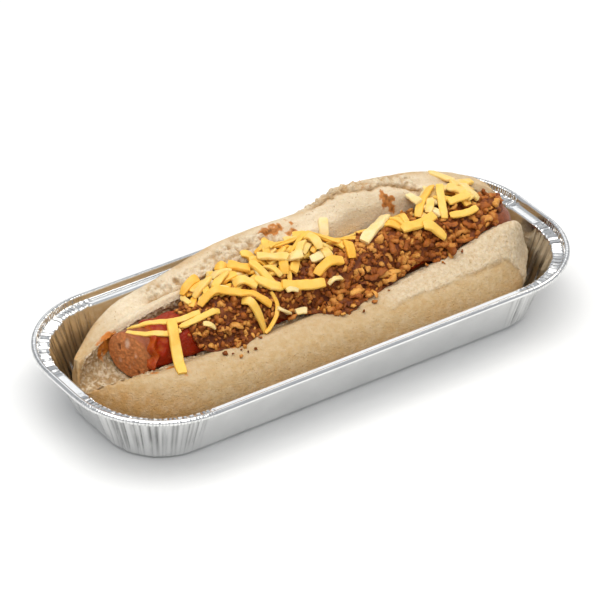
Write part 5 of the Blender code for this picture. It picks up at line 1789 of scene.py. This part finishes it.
def place_camera():
    turn, height, roll = (math.radians(a) for a in (CAMERA_TURN, CAMERA_HEIGHT, CAMERA_ROLL))
    back = Vector((math.sin(turn) * math.cos(height), -math.cos(turn) * math.cos(height), math.sin(height)))
    right = (-back).cross(Vector((0, 0, 1))).normalized()
    up = right.cross(-back)
    side = right * math.cos(roll) + up * math.sin(roll)
    head = -right * math.sin(roll) + up * math.cos(roll)
    optics = bpy.data.cameras.new("camera")
    optics.sensor_width = SENSOR
    optics.lens = CAMERA_LENS
    optics.clip_end = 10.0
    camera = bpy.data.objects.new("camera", optics)
    place = Vector(CAMERA_TARGET) + back * CAMERA_DISTANCE
    camera.matrix_world = Matrix.Translation(place) @ Matrix((side, head, back)).transposed().to_4x4()
    bpy.context.scene.collection.objects.link(camera)
    bpy.context.scene.camera = camera


class BuildStudio(bpy.types.Operator):
    """Set up the pale floor, the soft lights and the camera"""

    bl_idname = "traymeal.build_studio"
    bl_label = "Studio"

    def execute(self, context):
        look = settings("studio_settings")
        mesh = bpy.data.meshes.new("floor")
        corners = ((-1, -1), (1, -1), (1, 1), (-1, 1))
        points = [(x * FLOOR_REACH, y * FLOOR_REACH, FLOOR_LEVEL) for x, y in corners]
        mesh.from_pydata(points, [], [(0, 1, 2, 3)])
        material, _, shader = new_material("pale floor")
        shader.inputs["Base Color"].default_value = (*look.floor, 1.0)
        shader.inputs["Roughness"].default_value = 0.9
        mesh.materials.append(material)
        floor = bpy.data.objects.new("floor", mesh)
        context.scene.collection.objects.link(floor)
        world = bpy.data.worlds.new("studio air")
        world.use_nodes = True
        air = world.node_tree.nodes["Background"]
        air.inputs["Color"].default_value = (*look.air, 1.0)
        air.inputs["Strength"].default_value = look.air_strength
        context.scene.world = world
        for lamp in LAMPS:
            softbox(*lamp)
        place_camera()
        context.scene.view_settings.view_transform = "Standard"
        return {"FINISHED"}


SETTINGS = {
    "tray_settings": TraySettings,
    "bread_settings": BreadSettings,
    "sausage_settings": SausageSettings,
    "sauce_settings": SauceSettings,
    "onion_settings": OnionSettings,
    "cheese_settings": CheeseSettings,
    "studio_settings": StudioSettings,
}
OPERATORS = {
    BuildTray: "tray_settings",
    BuildBread: "bread_settings",
    BuildSausage: "sausage_settings",
    BuildSauce: "sauce_settings",
    BuildOnions: "onion_settings",
    BuildCheese: "cheese_settings",
    BuildStudio: "studio_settings",
}


class TrayMealPanel(bpy.types.Panel):
    """Sizes and colours of each piece, with the button that builds it"""

    bl_idname = "TRAYMEAL_PT_pieces"
    bl_label = "Tray meal"
    bl_space_type = "VIEW_3D"
    bl_region_type = "UI"
    bl_category = "Tray meal"

    def draw(self, context):
        for operator, group in OPERATORS.items():
            box = self.layout.box()
            box.operator(operator.bl_idname)
            for name in SETTINGS[group].__annotations__:
                box.prop(getattr(context.scene, group), name)


def register():
    for group in SETTINGS.values():
        bpy.utils.register_class(group)
    for name, group in SETTINGS.items():
        setattr(bpy.types.Scene, name, bpy.props.PointerProperty(type=group))
    for operator in OPERATORS:
        bpy.utils.register_class(operator)
    bpy.utils.register_class(TrayMealPanel)


def unregister():
    bpy.utils.unregister_class(TrayMealPanel)
    for operator in reversed(list(OPERATORS)):
        bpy.utils.unregister_class(operator)
    for name, group in reversed(list(SETTINGS.items())):
        delattr(bpy.types.Scene, name)
        bpy.utils.unregister_class(group)


def main():
    register()
    bpy.ops.traymeal.build_tray()
    bpy.ops.traymeal.build_bread()
    bpy.ops.traymeal.build_sausage()
    bpy.ops.traymeal.build_sauce()
    bpy.ops.traymeal.build_onions()
    bpy.ops.traymeal.build_cheese()
    bpy.ops.traymeal.build_studio()


if __name__ == "__main__":
    main()
